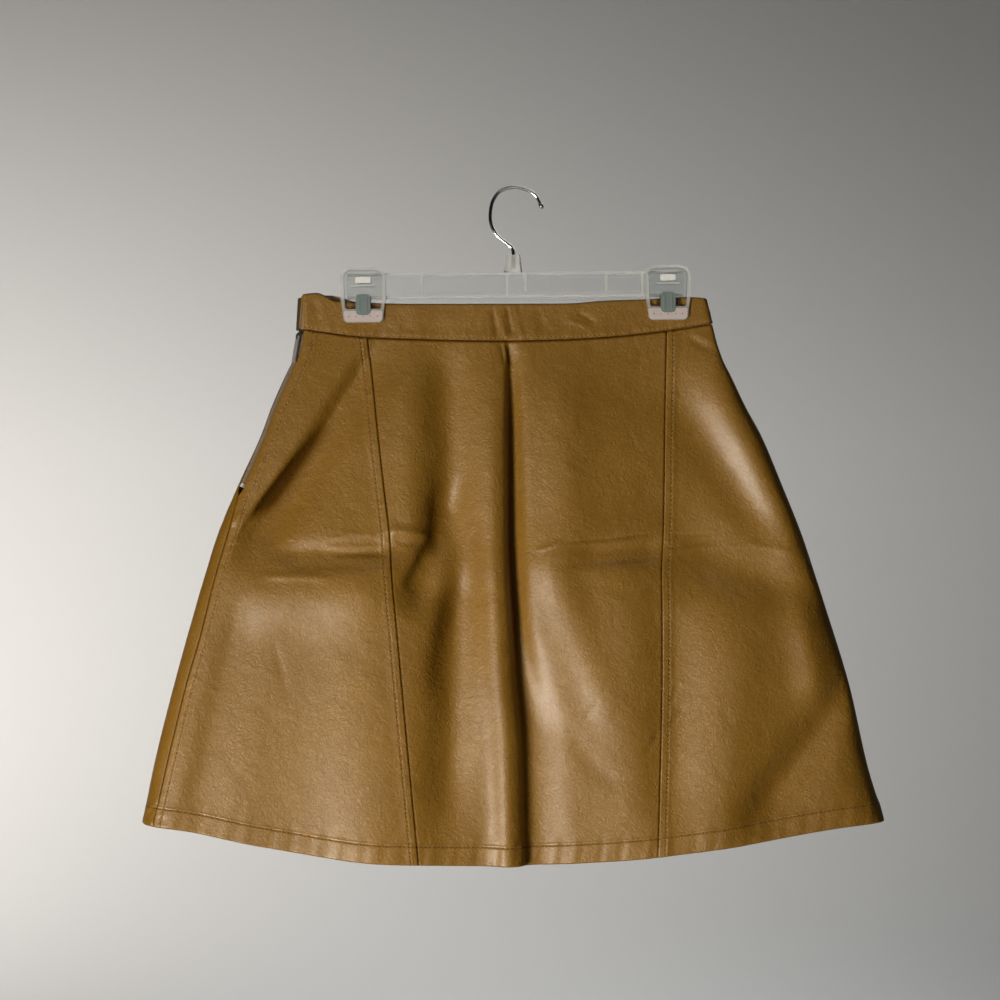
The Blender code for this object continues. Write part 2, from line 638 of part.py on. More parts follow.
def make_pull(pivot, metal):
    """The pull tab, its cross bar under the arch; its origin is on the bar's axis."""
    half, thick = PULL_WIDTH / 2.0, PULL_THICK / 2.0
    outline = rounded_rectangle(-half, half, -thick, PULL_LENGTH, thick)
    pull = prism_object("zip_pull", outline, -thick, thick, Matrix.Identity(4), metal)
    window = rectangle(-PULL_WINDOW_WIDTH / 2.0, PULL_WINDOW_WIDTH / 2.0, thick, PULL_WINDOW_END)
    tool = prism_object("window", window, -PULL_THICK, PULL_THICK, Matrix.Identity(4), metal)
    combine(pull, tool, "DIFFERENCE")
    pull.matrix_world = pivot


def smooth_route(points, step):
    """Points a step apart on a smooth curve through a route's own points."""
    route = np.array(points)
    before = np.vstack((2.0 * route[0] - route[1], route, 2.0 * route[-1] - route[-2]))
    dense = []
    for i in range(len(route) - 1):
        p0, p1, p2, p3 = before[i:i + 4]
        for t in np.linspace(0.0, 1.0, ROUTE_SAMPLES, endpoint=False):
            dense.append(0.5 * (2.0 * p1 + (p2 - p0) * t + (2.0 * p0 - 5.0 * p1 + 4.0 * p2 - p3) * t**2
                                + (3.0 * p1 - p0 - 3.0 * p2 + p3) * t**3))
    dense = np.array(dense + [route[-1]])
    arc = np.concatenate(([0.0], np.cumsum(np.linalg.norm(np.diff(dense, axis=0), axis=1))))
    marks = np.linspace(0.0, arc[-1], int(round(arc[-1] / step)) + 1)
    return np.stack([np.interp(marks, arc, dense[:, k]) for k in range(dense.shape[1])], axis=-1)


def make_hook(metal):
    """A bent wire that ends in a bead."""
    route = [(x, 0.0, z, WIRE_RADIUS) for x, z in smooth_route(HOOK_ROUTE, WIRE_STEP)]
    end, before = Vector(route[-1][:3]), Vector(route[-2][:3])
    onward = (end - before).normalized()
    start_angle = math.asin(WIRE_RADIUS / BEAD_RADIUS)
    for angle in np.linspace(start_angle, BEAD_END_ANGLE, BEAD_STEPS + 1)[1:]:
        centre = end + onward * BEAD_RADIUS * (1.0 - math.cos(angle))
        route.append((*centre, BEAD_RADIUS * math.sin(angle)))
    curve = bpy.data.curves.new("hanger_hook", "CURVE")
    curve.dimensions = "3D"
    curve.bevel_depth = 1.0
    curve.bevel_resolution = 3
    curve.use_fill_caps = True
    spline = curve.splines.new("POLY")
    spline.points.add(len(route) - 1)
    for point, (x, y, z, radius) in zip(spline.points, route):
        point.co = (x, y, z, 1.0)
        point.radius = radius
    curve.materials.append(metal)
    hook = bpy.data.objects.new("hanger_hook", curve)
    bpy.context.collection.objects.link(hook)


def bar_frame():
    """Frame of the bar: x along it, y up, z towards the face, its centre at the bar's centre."""
    tilt = Matrix.Rotation(-BAR_TILT, 4, "Y")
    upright = Matrix(((1, 0, 0, 0), (0, 0, -1, 0), (0, 1, 0, 0), (0, 0, 0, 1)))
    centre_z = -(BAR_TOP_DROP + BAR_HEIGHT / 2.0)
    return Matrix.Translation((BAR_CENTRE_X, 0.0, centre_z)) @ tilt @ upright


def make_bar(plastic):
    """An I-shaped bar with ribs, and the neck that holds the hook."""
    frame = bar_frame()
    half_height = BAR_HEIGHT / 2.0
    flange = BAR_DEPTH / 2.0
    web = WEB_DEPTH / 2.0
    inside = half_height - FLANGE_HEIGHT
    profile = [
        (flange, half_height), (-flange, half_height), (-flange, inside), (-web, inside),
        (-web, -inside), (-flange, -inside), (-flange, -half_height), (flange, -half_height),
        (flange, -inside), (web, -inside), (web, inside), (flange, inside),
    ]
    end_frame = frame @ Matrix(((0, 0, 1, 0), (0, 1, 0, 0), (1, 0, 0, 0), (0, 0, 0, 1)))
    bar = prism_object("hanger_bar", profile, -BAR_HALF_LENGTH, BAR_HALF_LENGTH, end_frame, plastic,
                       smooth=False)
    overlap = FLANGE_HEIGHT / 2.0
    for place in RIB_PLACES:
        rib = rectangle(place - RIB_WIDTH / 2.0, place + RIB_WIDTH / 2.0,
                        -inside - overlap, inside + overlap)
        reach = flange - GAP
        tool = prism_object("rib", rib, -reach, reach, frame, plastic, smooth=False)
        combine(bar, tool, "UNION")
    neck = bpy.data.meshes.new("neck")
    shape = bmesh.new()
    bmesh.ops.create_cone(shape, cap_ends=True, segments=NECK_SIDES, radius1=NECK_FOOT_RADIUS,
                          radius2=NECK_TOP_RADIUS, depth=NECK_HEIGHT + overlap)
    squash = Matrix.Diagonal((1.0, flange / NECK_FOOT_RADIUS, 1.0, 1.0))
    middle_z = -BAR_TOP_DROP + (NECK_HEIGHT - overlap) / 2.0
    shape.transform(Matrix.Translation((HOOK_ROUTE[0][0], 0.0, middle_z)) @ squash)
    shape.to_mesh(neck)
    shape.free()
    combine(bar, finish_object("neck", neck, plastic), "UNION")
    bore = bpy.data.meshes.new("bore")
    shape = bmesh.new()
    bmesh.ops.create_cone(shape, cap_ends=True, segments=NECK_SIDES, radius1=WIRE_RADIUS + GAP,
                          radius2=WIRE_RADIUS + GAP, depth=BORE_LENGTH)
    bottom = HOOK_ROUTE[0][1] - GAP
    shape.transform(Matrix.Translation((HOOK_ROUTE[0][0], 0.0, bottom + BORE_LENGTH / 2.0)))
    shape.to_mesh(bore)
    shape.free()
    combine(bar, finish_object("bore", bore, plastic), "DIFFERENCE")


def make_clip(side, plastic, steel):
    """Two jaws that stand on the bar's faces and the band's, and the strap that closes them."""
    frame = bar_frame()
    place = CLIP_PLACES[side] - BAR_CENTRE_X
    top = BAR_HEIGHT / 2.0 + CLIP_RISE_OVER_BAR
    outline = rounded_rectangle(place - JAW_WIDTH / 2.0, place + JAW_WIDTH / 2.0,
                                top - JAW_HEIGHT, top, JAW_CORNER)
    inner_face = BAR_DEPTH / 2.0 + GAP
    outer_face = inner_face + JAW_THICK
    strap_top = -BAR_HEIGHT / 2.0 - GAP
    half_strap = STRAP_WIDTH / 2.0
    for name, low, high in (("front", inner_face, outer_face), ("back", -outer_face, -inner_face)):
        jaw = prism_object(f"clip_{side}_{name}_jaw", outline, low, high, frame, plastic)
        slot = rectangle(place - half_strap - GAP, place + half_strap + GAP,
                         strap_top - STRAP_THICK - STRAP_CORNER, strap_top + GAP)
        tool = prism_object("slot", slot, low - JAW_THICK, high + JAW_THICK, frame, plastic, smooth=False)
        combine(jaw, tool, "DIFFERENCE")
    out = outer_face + GAP + STRAP_THICK
    inside = outer_face + GAP
    low = strap_top - STRAP_DROP
    corner = STRAP_CORNER
    bend = strap_top - corner - STRAP_THICK / 2.0
    strap = [
        (-out, low), (-out, strap_top - corner), (-out + corner, strap_top),
        (out - corner, strap_top), (out, strap_top - corner), (out, low),
        (inside, low), (inside, bend), (inside - corner / 2.0, strap_top - STRAP_THICK),
        (-inside + corner / 2.0, strap_top - STRAP_THICK), (-inside, bend), (-inside, low),
    ]
    end_frame = frame @ Matrix(((0, 0, 1, 0), (0, 1, 0, 0), (1, 0, 0, 0), (0, 0, 0, 1)))
    prism_object(f"clip_{side}_spring", strap, place - half_strap, place + half_strap, end_frame, steel,
                 smooth=False)


def main():
    clear_scene()
    leather = make_material("tan_leather", (0.27, 0.135, 0.035), 0.42)
    steel = make_material("steel", (0.45, 0.46, 0.47), 0.30, metallic=1.0)
    chrome = make_material("chrome_wire", (0.75, 0.76, 0.78), 0.12, metallic=1.0)
    teeth = make_material("zip_teeth", (0.22, 0.17, 0.12), 0.45, metallic=0.6)
    plastic = make_material("clear_plastic", (0.86, 0.88, 0.88), 0.12, alpha=0.35)

    spans = {"front_left": left_panel_span, "front_centre": centre_panel_span,
             "front_right": right_panel_span, "back": back_panel_span}
    for side, span in spans.items():
        cloth_wall(f"{side}_panel", skirt_drop, span, panel_levels(), PANEL_COLUMNS[side], leather)
    cloth_wall("waistband", band_drop, band_span, np.linspace(0.0, 1.0, BAND_ROWS), BAND_COLUMNS,
               leather, proud=BAND_PROUD, wall=BAND_WALL)
    make_zip(steel, teeth)
    make_hook(chrome)
    make_bar(plastic)
    for side in CLIP_PLACES:
        make_clip(side, plastic, steel)


main()
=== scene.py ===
"""Looks of a tan leather mini skirt with a side zip, on a clear clip hanger with a wire hook.

Metres, +Z up, the skirt's face towards -Y, the origin under the hook's top. A drop is a height below
the origin. The cloth is a flattened tube: turn 0 is its left edge, turn pi its right edge, and between
them it runs over the face, then back behind. The tables of the tube, its seams and the back's folds are
the solids' own. The face's folds follow the solids' plan with depths of their own, which differ by
1.5 mm on average and 9 mm at most.
"""
import json
import math
from collections import namedtuple

import bmesh
import bpy
import numpy as np
from mathutils import Matrix, Vector

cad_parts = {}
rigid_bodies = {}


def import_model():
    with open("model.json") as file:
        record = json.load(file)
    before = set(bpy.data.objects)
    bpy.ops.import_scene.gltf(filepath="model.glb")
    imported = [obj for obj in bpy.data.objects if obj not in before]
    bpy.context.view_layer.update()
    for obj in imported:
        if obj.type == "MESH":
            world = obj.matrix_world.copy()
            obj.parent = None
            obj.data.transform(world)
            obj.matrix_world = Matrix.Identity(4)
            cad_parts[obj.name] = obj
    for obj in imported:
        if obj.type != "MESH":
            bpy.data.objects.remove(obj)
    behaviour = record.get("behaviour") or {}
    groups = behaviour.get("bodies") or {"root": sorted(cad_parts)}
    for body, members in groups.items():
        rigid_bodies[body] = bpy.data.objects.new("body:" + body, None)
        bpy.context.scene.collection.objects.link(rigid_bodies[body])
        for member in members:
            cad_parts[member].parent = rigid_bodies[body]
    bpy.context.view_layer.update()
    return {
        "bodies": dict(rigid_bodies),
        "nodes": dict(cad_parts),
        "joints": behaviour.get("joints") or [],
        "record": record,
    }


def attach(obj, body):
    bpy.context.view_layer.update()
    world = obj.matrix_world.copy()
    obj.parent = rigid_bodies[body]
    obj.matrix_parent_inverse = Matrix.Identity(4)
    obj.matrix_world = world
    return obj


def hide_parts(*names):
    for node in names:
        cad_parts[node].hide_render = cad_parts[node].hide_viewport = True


# ---------------------------------------------------------------- the cloth's sizes and folds
WALL = 0.0015
BAND_WALL = 0.0024
BAND_PROUD = 0.0008
BAND_FACE_END = 0.0035
BAND_BACK_END = 0.0010
SEAM_GAP = 0.0003
RING_SAMPLES = 2400
RING_OVERRUN = 0.8
SMALL_STEP = 1e-4
EDGE_FADE_POWER = 18
FOLD_END = 0.28
BACK_HEM_LIFT = 0.0025
RIGHT_SEAM_INSET = 0.012


def table(kind, rows, plain=()):
    """Named rows in metres from rows in millimetres. The plain columns have no unit."""
    def metres(name, value):
        return value if name in plain else round(value / 1000.0, 7)
    return [kind(*(metres(*pair) for pair in zip(kind._fields, row))) for row in rows]


Section = namedtuple("Section", "drop left right front behind edge_radius")
SECTIONS = table(Section, (
    (86, -186.2, 165.5, 3.2, 3.2, 3),
    (119, -188.5, 173.8, 3.2, 3.2, 3),
    (134, -189.5, 177.5, 4.5, 4.2, 4),
    (150, -194, 183, 6.5, 5.5, 5.5),
    (163, -200, 189.5, 8.2, 6.5, 6),
    (190, -212, 202.4, 11, 8, 6),
    (216, -221.6, 216.5, 13, 9.2, 7.2),
    (260, -241.8, 235, 15.2, 10.8, 8.6),
    (304, -260, 252.5, 17.2, 12, 9.6),
    (337, -270.3, 263.4, 20, 12.8, 10.4),
    (365, -278.6, 272.4, 20.8, 13.5, 11),
    (435, -298, 293.8, 22.2, 14.8, 12),
    (505, -315.4, 309.6, 24, 15.8, 12.8),
    (557, -325.5, 325.5, 25, 16.5, 13.2),
    (610, -335, 340, 26, 17, 13.5),
))
Level = namedtuple("Level", "across drop")
WAIST_SEAM = table(Level, (
    (-1, 122.5), (-0.65, 130.3), (0, 133.3), (0.2, 132.6), (0.44, 130.5), (0.76, 124.6), (1, 118),
), plain=("across",))
BAND_TOP_FRONT = table(Level, (
    (-1, 92.5), (-0.92, 91.2), (-0.82, 98.5), (-0.7, 99.5), (-0.5, 100.7), (0.3, 100.5), (0.5, 98),
    (0.7, 96.8), (0.92, 94.8), (1, 95.5),
), plain=("across",))
BAND_TOP_BACK = table(Level, (
    (-1, 93), (-0.85, 93.2), (-0.7, 99.5), (0, 101.2), (0.7, 97.5), (1, 95.5),
), plain=("across",))
HEM = table(Level, (
    (-1, 555.4), (-0.88, 560), (-0.66, 573.8), (-0.34, 587.4), (0, 590), (0.24, 586), (0.55, 574.3),
    (0.88, 556.8), (1, 552.8),
), plain=("across",))
Seam = namedtuple("Seam", "drop side left right")
SEAMS = table(Seam, (
    (118, -187.2, -129.2, 133.6),
    (134, -188, -127.8, 133.4),
    (163, -198.2, -124.4, 132.8),
    (190, -210.1, -121.5, 132.4),
    (216, -219.6, -118.6, 131.9),
    (262, -238.6, -113.3, 131.2),
    (300, -248.7, -108.6, 130.4),
    (339, -260.1, -105.9, 128.4),
    (395, -274, -100.7, 128.8),
    (428, -283.8, -97.7, 128.7),
    (483, -297.3, -92.6, 127.6),
    (540, -310.4, -87.2, 125.9),
    (610, -325.5, -80.5, 123.5),
))
# The fold down the middle: its line, its crevice's depth and the width of the crevice's right side, the round
# ridge at its left and the wide hollow at its right
CentreFold = namedtuple("CentreFold", "drop x depth right_width ridge hollow")
CENTRE_FOLD = table(CentreFold, (
    (130, -4.2, 0, 7, 0, 0),
    (148, -3, 4, 7, 0.6, 0.4),
    (200, -2.6, 9.5, 8, 2.4, 1.8),
    (300, -2.4, 12, 9, 4.4, 3),
    (378, 1.4, 12, 10, 6, 3.6),
    (430, 4.8, 8.8, 17, 7, 4),
    (483, 9.4, 7.5, 26, 7.8, 3.6),
    (600, 12, 6, 30, 8.4, 3),
))
CREVICE_LEFT_WIDTH = 0.0038
RIDGE_OFFSET = -0.0155
RIDGE_WIDTH = 0.0130
HOLLOW_OFFSET = 0.0090
HOLLOW_WIDTH = 0.0200
# Folds: a line over the cloth, its sideways bow, its width, how far it stands out or dips in, and how many
# times wider its right side is
Fold = namedtuple("Fold", "top_x top_drop low_x low_drop bow width top_rise low_rise spread",
                  defaults=(1.0,))
FACE_FOLDS = table(Fold, (
    (43, 140, 48, 350, 0, 24, 2.5, 5.5),  # swell right of the middle
    (118, 110, 165, 370, 0, 50, -5, -9),  # upper right hollow
    (84, 270, 128, 700, 0, 35, 5.2, 6.4),  # lower right swell
    (16, 285, 100, 500, 0, 18, 4.8, 2.4),  # its bright shoulder
    (33, 400, 48, 680, 0, 15, -2.8, 0.6, 2.4),  # low hollow by the middle
    (45, 320, 140, 314, 0, 9.5, -2.8, -3.4),  # storage fold's dip, right
    (140, 340, 132, 580, 0, 22, -3, -4.2),  # hollow along the seam
    (-59, 110, -52, 345, 0, 18.5, -5, -13.5),  # upper left hollow
    (-90, 140, -92, 320, 0, 18, 2, 4.5),  # ridge at its left
    (-56, 245, -90, 380, 2, 13, -4, -10),  # its end, towards the seam
    (-44, 275, -60, 590, 0, 18.5, -13.5, -6.5),  # lower left hollow
    (-100, 105, -248, 335, 2, 8.5, -6, -14, 3),  # drag from the zip
    (-130, 240, -108, 700, 0, 52, 6, 14),  # left panel's swell
    (-220, 321, -85, 315, 0, 9.5, -3.6, -4.2),  # storage fold's dip, left
    (-270, 358, -85, 350, 0, 28, 4, 5.5),  # shoulder under it
    (-210, 230, -298, 640, 0, 14, -3.4, -4, 1.8),  # hollow by the side seam
    (162, 120, 280, 360, -4, 23, 3.4, 8),  # drag to the right edge
    (125, 160, 245, 330, 0, 22, -4, -8),  # hollow under it
    (135, 312, 290, 365, 0, 22, -4, -7),  # top of the lower right panel
    (195, 330, 175, 640, 0, 36, 6, 10),  # right panel's swell
    (245, 330, 268, 465, 0, 15, 5, 5),  # ridge by the right edge
    (315, 400, 185, 575, 5, 18, -10, -8),  # lower right hollow
), plain=("spread",))
BACK_FOLDS = table(Fold, (
    (-110, 180, -150, 680, 6, 30, 1, 5),
    (-30, 200, -45, 680, -5, 18, -1.5, -6.5),
    (45, 160, 70, 680, 0, 32, 1, 5),
    (125, 230, 160, 680, 8, 20, -1.5, -5),
    (160, 170, 230, 310, 4, 15, 1.5, 2.5),
    (-150, 170, -225, 320, -4, 15, -1.5, -3),
), plain=("spread",))

# ---------------------------------------------------------------- fine relief of the leather
# Creases, in a fold's columns: a storage fold across the skirt, drags and puckers
FACE_CREASES = table(Fold, (
    (-170, 314.2, -106, 312.2, 0, 2.6, 0.7, 1),  # left storage crease, top
    (-164, 319.6, -108, 319, 0, 2.4, -0.6, -0.9),
    (-206, 330, -112, 330, 1, 6, -1.3, -1.2),  # dark band under it
    (-226, 339.5, -150, 341.2, 1.2, 3.4, 1.2, 0.6),
    (-166, 306.5, -142, 303, 0, 2, 0.3, 0.4),
    (-156, 300, -113, 304.5, 0, 2.2, 0.3, 0.3),
    (-115, 298.5, -70, 305, 1.2, 4.8, 2.2, 2),  # beyond the seam
    (-69, 258, -71.5, 322, 0, 5, -1, -2.2),  # the turn between the hollows
    (-70, 303, -97, 354, 0, 4.6, -2.4, -1.2),
    (-44, 322, -76, 440, 0, 7.5, -1.4, -1.8),
    (-105, 308, -80, 311.5, 0, 2.8, -0.8, -0.5),
    (-104, 292.5, -86, 293.5, 0, 1.8, -0.5, -0.3),
    (16.5, 317, 46, 306.2, -1.4, 1.7, 0.5, 0.7),  # right storage crease
    (33, 309.2, 129, 299, -2.6, 1.5, -0.6, -0.7),
    (50, 310.5, 129, 304, -2.4, 3.2, 0.8, 0.7),
    (27, 330.5, 129, 321.5, 0, 4.2, -0.7, -0.9),
    (133, 304, 179, 301.8, 0, 1.5, -0.5, -0.2),
    (134, 317, 185, 312, 0, 3, 0.6, 0.3),
    (193, 308, 247, 319, 0, 3.4, 0.4, 0.6),
    (148, 129, 183, 145.5, 0, 2.8, -0.9, -1.1),  # drags under the band
    (156, 126.5, 180, 134.5, 0, 3, 0.6, 0.5),
    (-12.8, 132.5, -7, 156, 0, 2, -1.3, -0.9),
    (-6.2, 132.5, -3, 158, 0, 1.7, -1.2, -1),
    (-10, 132.5, -5.8, 156, 0, 1.8, 0.6, 0.4),
    (12, 133.5, 13, 160, 0, 4, 0.5, 0.4),
    (-86, 507, -61, 486, 1.2, 1.6, -0.6, -0.4),  # small creases low down
    (-85, 515, -70, 495, 0, 2.4, 0.5, 0.3),
    (60, 462, 76, 443, 0, 1.6, -0.5, -0.4),
    (83, 462, 96, 448, 0, 1.5, -0.4, -0.3),
    (111, 496, 127, 472, 0, 2.4, -0.6, -0.7),
    (134, 470, 148, 448, 0, 2.4, -0.8, -0.5),
    (134, 450, 144, 431, 0, 2.2, -0.7, -0.5),
    (180, 452, 190, 470, 0, 2, -0.4, -0.4),
    (45, 465, 98, 525, -7, 8.5, -0.6, -0.7),
    (-170, 210, -240, 308, 0, 4.2, -0.8, -3),  # the zip's drag, sharp end
    (-235, 282, -248, 296, 0, 3, 1.2, 1),  # below the zip
    (-229, 290, -242, 308, 0, 3, -0.9, -0.6),
    (-210, 390, -196, 445, 0, 3, -0.4, -0.5),
), plain=("spread",))
FOLD_PAINTED_SHADE = table(Fold, (   # painted shade along the same lines, with how dark it is in place of a rise
    (-148, 175, -228, 300, 2, 8, -0.2, -0.7, 1.6),  # drag from the zip
    (-156, 192, -236, 296, 1, 4.2, -0.3, -1.6, 1.5),  # its dark core
    (-66, 180, -62, 335, 0, 12, -0.15, -0.45),  # upper left hollow
    (-62, 330, -66, 500, 0, 12, -0.35, -0.3),  # lower left hollow
    (-69, 245, -70.5, 330, 0, 5, -0.3, -0.7),  # the sharp turn between them
    (-68, 298, -98, 356, 0, 4.8, -0.7, -0.6),
    (-43, 320, -78, 460, 0, 7.5, -0.45, -0.35),
), plain=("top_rise", "low_rise", "spread"))
BAND_CREASES = table(Fold, (
    (-20, 101, -15, 133.5, 0, 2.2, -0.8, -1.2),
    (-14, 104, -6.5, 134, 0, 2.4, 0.4, 1.2),
    (-7.5, 99.5, -1.5, 133.5, 0, 1.8, -1.1, -1.3),
    (1, 102, 7.5, 134, 0, 2.4, 0.3, 0.9),
    (3.5, 99, 6, 112, 0, 1.4, -0.7, -0.3),
    (19, 102, 27, 126, 0, 4.2, -0.5, -0.6),
    (44, 113.5, 69, 123, 0, 1.8, 0.6, 0.4),
    (53, 107, 73, 119, 0, 2.4, -0.8, -0.6),
    (-30, 109, -26, 133, 0, 3, 0.4, 0.5),
    (-100, 105, -90, 128, 0, 5, -0.4, -0.3),
    (102, 101, 110, 123, 0, 6, -0.4, -0.4),
    (-176, 96, -170, 120, 0, 4, -0.6, -0.4),
), plain=("spread",))
BACK_CREASES = table(Fold, (
    (-170, 313, -50, 306, 2, 2.6, -0.7, -0.9),
    (-165, 320, -62, 313, 2, 3.6, 1, 0.8),
    (30, 306, 160, 314, -2, 2.2, -0.8, -0.6),
    (36, 312, 150, 321, -2, 3.6, 0.9, 0.7),
    (-65, 129, -56, 162, 0, 2.6, -1.2, -0.8),
    (60, 129, 68, 158, 0, 2.8, -1, -0.7),
    (85, 450, 110, 488, 0, 2.6, -0.6, -0.4),
    (-140, 430, -115, 465, 0, 2.8, -0.6, -0.5),
    (-230, 370, -200, 460, 4, 6, -0.8, -0.8),
    (220, 360, 190, 470, 4, 7, -0.9, -0.7),
), plain=("spread",))
TOPSTITCH = 0.0062
ZIP_TOPSTITCH = 0.0090
ZIP_TOPSTITCH_ENDS = (0.270, 0.330)
CHANNEL_DEPTH = 0.00042
CHANNEL_WIDTH = 0.0007
STRIP_RISE = 0.00050
STRIP_FALL = 0.0060
EDGE_SINK = 0.0007
EDGE_ROUND = 0.0014
PLAIN_SINK = 0.0005
PLAIN_ROUND = 0.0020
HEM_STITCH = 0.0165
HEM_STRIP_RISE = 0.00035
HEM_ROUND = 0.0011
HEM_STRIP_FALL = 0.003
HEM_TURN_UP = 0.0200
HEM_TURN_UP_THICK = 0.0009
HEM_TURN_UP_FALL = 0.0015
HEM_RIPPLE = 0.00042
HEM_PERIOD = 0.0165
HEM_PUCKER_REACH = 0.0090
HEM_PUCKER_RISE = 0.010
HEM_PUCKER_LEAST = 0.35
SEAM_RIPPLE = 0.00016
SEAM_PERIOD = 0.0085
SEAM_PUCKER_WIDTH = 0.0045
WAIST_SINK = 0.0006
WAIST_ROUND = 0.0024
WAIST_RIPPLE = 0.00022
WAIST_PERIOD = 0.0120
WAIST_PUCKER_REACH = 0.0065
BAND_STITCH = 0.0024
# Painted light in the leather's colour: painted shade in the sharp creases' troughs, down the crevice, in
# seam grooves and stitch channels, along the hem and under the band, and painted highlight on the sharp
# creases' ridges and on the seams' raised strips
SHARP_CREASE = 0.0027
CREASE_PAINTED_LIGHT_RISE = 0.0020
GROOVE_PAINTED_SHADE = 0.55
CHANNEL_PAINTED_SHADE = 0.45
PLAIN_PAINTED_SHADE = 0.40
PAINTED_SHADE_WIDTH = 0.0007
PLAIN_PAINTED_SHADE_WIDTH = 0.0016
PAINTED_STRIP_HIGHLIGHT = 0.5
PAINTED_STRIP_HIGHLIGHT_AT = 0.0022
PAINTED_STRIP_HIGHLIGHT_WIDTH = 0.0010
HEM_PAINTED_SHADE_SHIFT = 0.0004
BAND_LOW_PAINTED_SHADE = 0.8
BAND_PAINTED_SHADE_WIDTH = 0.0009
BAND_STITCH_PAINTED_SHADE = 0.3
CREVICE_PAINTED_SHADE_WIDTH = 0.0034
CREVICE_PAINTED_SHADE_DEPTH = 0.0130
BAND_EDGE_ROUND = 0.0012
BAND_EDGE_SINKS = (0.0011, 0.0007, 0.0010, 0.0010)   # top, low edge, front end, back end
BAND_CHANNEL_DEPTH = 0.0003
BAND_RIPPLE = 0.00026
BAND_PERIOD = 0.0100
BAND_PUCKER_REACH = 0.0055
BAND_WAVE = 0.00018
BAND_WAVE_PERIOD = 0.0330
BACK_CREASE_SHARE = 0.6

# Mesh spacing
FINE_ZONE = 0.0095
FINE_COLUMNS = 21
FINE_CROWDING = 1.4
MIDDLE_COLUMNS = {"front_left": 72, "front_centre": 118, "front_right": 78, "back": 150}
BEND_SPACING = 0.012
BAND_COLUMNS = 420
BAND_ROWS = 30

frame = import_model()


# ---------------------------------------------------------------- the tube
def smooth_through(at, height):
    """A function that runs smoothly, without overshoot, through heights at places."""
    step = np.diff(at)
    secant = np.diff(height) / step
    before, after = secant[:-1], secant[1:]
    same_way = before * after > 0
    total = np.where(same_way, before + after, 1.0)
    middle = np.where(same_way, 2.0 * before * after / total, 0.0)
    slope = np.concatenate((secant[:1], middle, secant[-1:]))

    def read(where):
        where = np.clip(where, at[0], at[-1])
        i = np.clip(np.searchsorted(at, where, side="right") - 1, 0, len(step) - 1)
        t = (where - at[i]) / step[i]
        rise = height[i + 1] - height[i]
        bend = t * (1.0 - t) * step[i]
        return (height[i] + rise * t * t * (3.0 - 2.0 * t)
                + bend * ((1.0 - t) * slope[i] - t * slope[i + 1]))
    return read


def smooth_columns(rows):
    """For each column of a table but its first, a smooth function over the first."""
    at, *heights = np.array(rows).T
    return [smooth_through(at, height) for height in heights]


left_at, right_at, front_at, behind_at, edge_radius_at = smooth_columns(SECTIONS)
side_seam_at, left_seam_at, right_seam_at = smooth_columns(SEAMS)
centre_x_at, centre_depth_at, centre_width_at, centre_ridge_at, centre_hollow_at = smooth_columns(CENTRE_FOLD)
waist_at, = smooth_columns(WAIST_SEAM)
band_top_front_at, = smooth_columns(BAND_TOP_FRONT)
band_top_back_at, = smooth_columns(BAND_TOP_BACK)
hem_at, = smooth_columns(HEM)


def smoothstep(value):
    value = np.clip(value, 0.0, 1.0)
    return value * value * (3.0 - 2.0 * value)


def bump(distance, width):
    return np.exp(-(distance / width) ** 2)


def folds_rise(folds, x, drop):
    """How far the cloth stands out of its smooth form at each place."""
    rise = np.zeros_like(x)
    for fold in folds:
        run_x = fold.low_x - fold.top_x
        run_drop = fold.low_drop - fold.top_drop
        length = math.hypot(run_x, run_drop)
        away_x = x - fold.top_x
        away_drop = drop - fold.top_drop
        along = (away_x * run_x + away_drop * run_drop) / length**2
        sideways = (away_x * run_drop - away_drop * run_x) / length
        sideways = sideways - 4.0 * fold.bow * along * (1.0 - along)
        height = fold.top_rise + (fold.low_rise - fold.top_rise) * np.clip(along, 0.0, 1.0)
        ends = smoothstep(along / FOLD_END) * smoothstep((1.0 - along) / FOLD_END)
        width = fold.width * np.where(sideways > 0.0, fold.spread, 1.0)
        rise += height * ends * bump(sideways, width)
    return rise


def centre_fold_rise(x, drop):
    """The middle's crevice, the round ridge at its left and the wide hollow at its right."""
    away = x - centre_x_at(drop)
    width = np.where(away < 0.0, CREVICE_LEFT_WIDTH, centre_width_at(drop))
    return (centre_ridge_at(drop) * bump(away - RIDGE_OFFSET, RIDGE_WIDTH)
            - centre_depth_at(drop) * bump(away, width)
            - centre_hollow_at(drop) * bump(away - HOLLOW_OFFSET, HOLLOW_WIDTH))


def cloth_surface(turn, drop):
    """Points of the cloth's outer face."""
    across = -np.cos(turn)
    left, right = left_at(drop), right_at(drop)
    half = (right - left) / 2.0
    x = (left + right) / 2.0 + half * across
    on_face = np.sin(turn) > 0.0
    front, behind = front_at(drop), behind_at(drop)
    power = 2.0 * half * edge_radius_at(drop) / ((front + behind) / 2.0) ** 2
    rim = np.sqrt(np.clip(1.0 - np.abs(across) ** power, 0.0, 1.0))
    calm = 1.0 - np.abs(across) ** EDGE_FADE_POWER
    face_y = -front * rim - calm * (folds_rise(FACE_FOLDS, x, drop) + centre_fold_rise(x, drop))
    back_y = behind * rim + calm * folds_rise(BACK_FOLDS, x, drop)
    return np.stack((x, np.where(on_face, face_y, back_y), -drop), axis=-1)


def cloth_normal(turn, drop):
    """Unit normals that point out of the tube."""
    round_the_tube = cloth_surface(turn + SMALL_STEP, drop) - cloth_surface(turn - SMALL_STEP, drop)
    down = cloth_surface(turn, drop + SMALL_STEP) - cloth_surface(turn, drop - SMALL_STEP)
    normal = np.cross(down, round_the_tube)
    return normal / np.linalg.norm(normal, axis=-1, keepdims=True)


def skirt_drop(turn, level):
    """Drop at a level of the skirt: 0 just under the waist seam, 1 at the hem."""
    across = -np.cos(turn)
    lift = np.where(np.sin(turn) > 0.0, 0.0, BACK_HEM_LIFT * (1.0 - across**2))
    top = waist_at(across) + SEAM_GAP / 2.0
    return top + (hem_at(across) - lift - top) * level


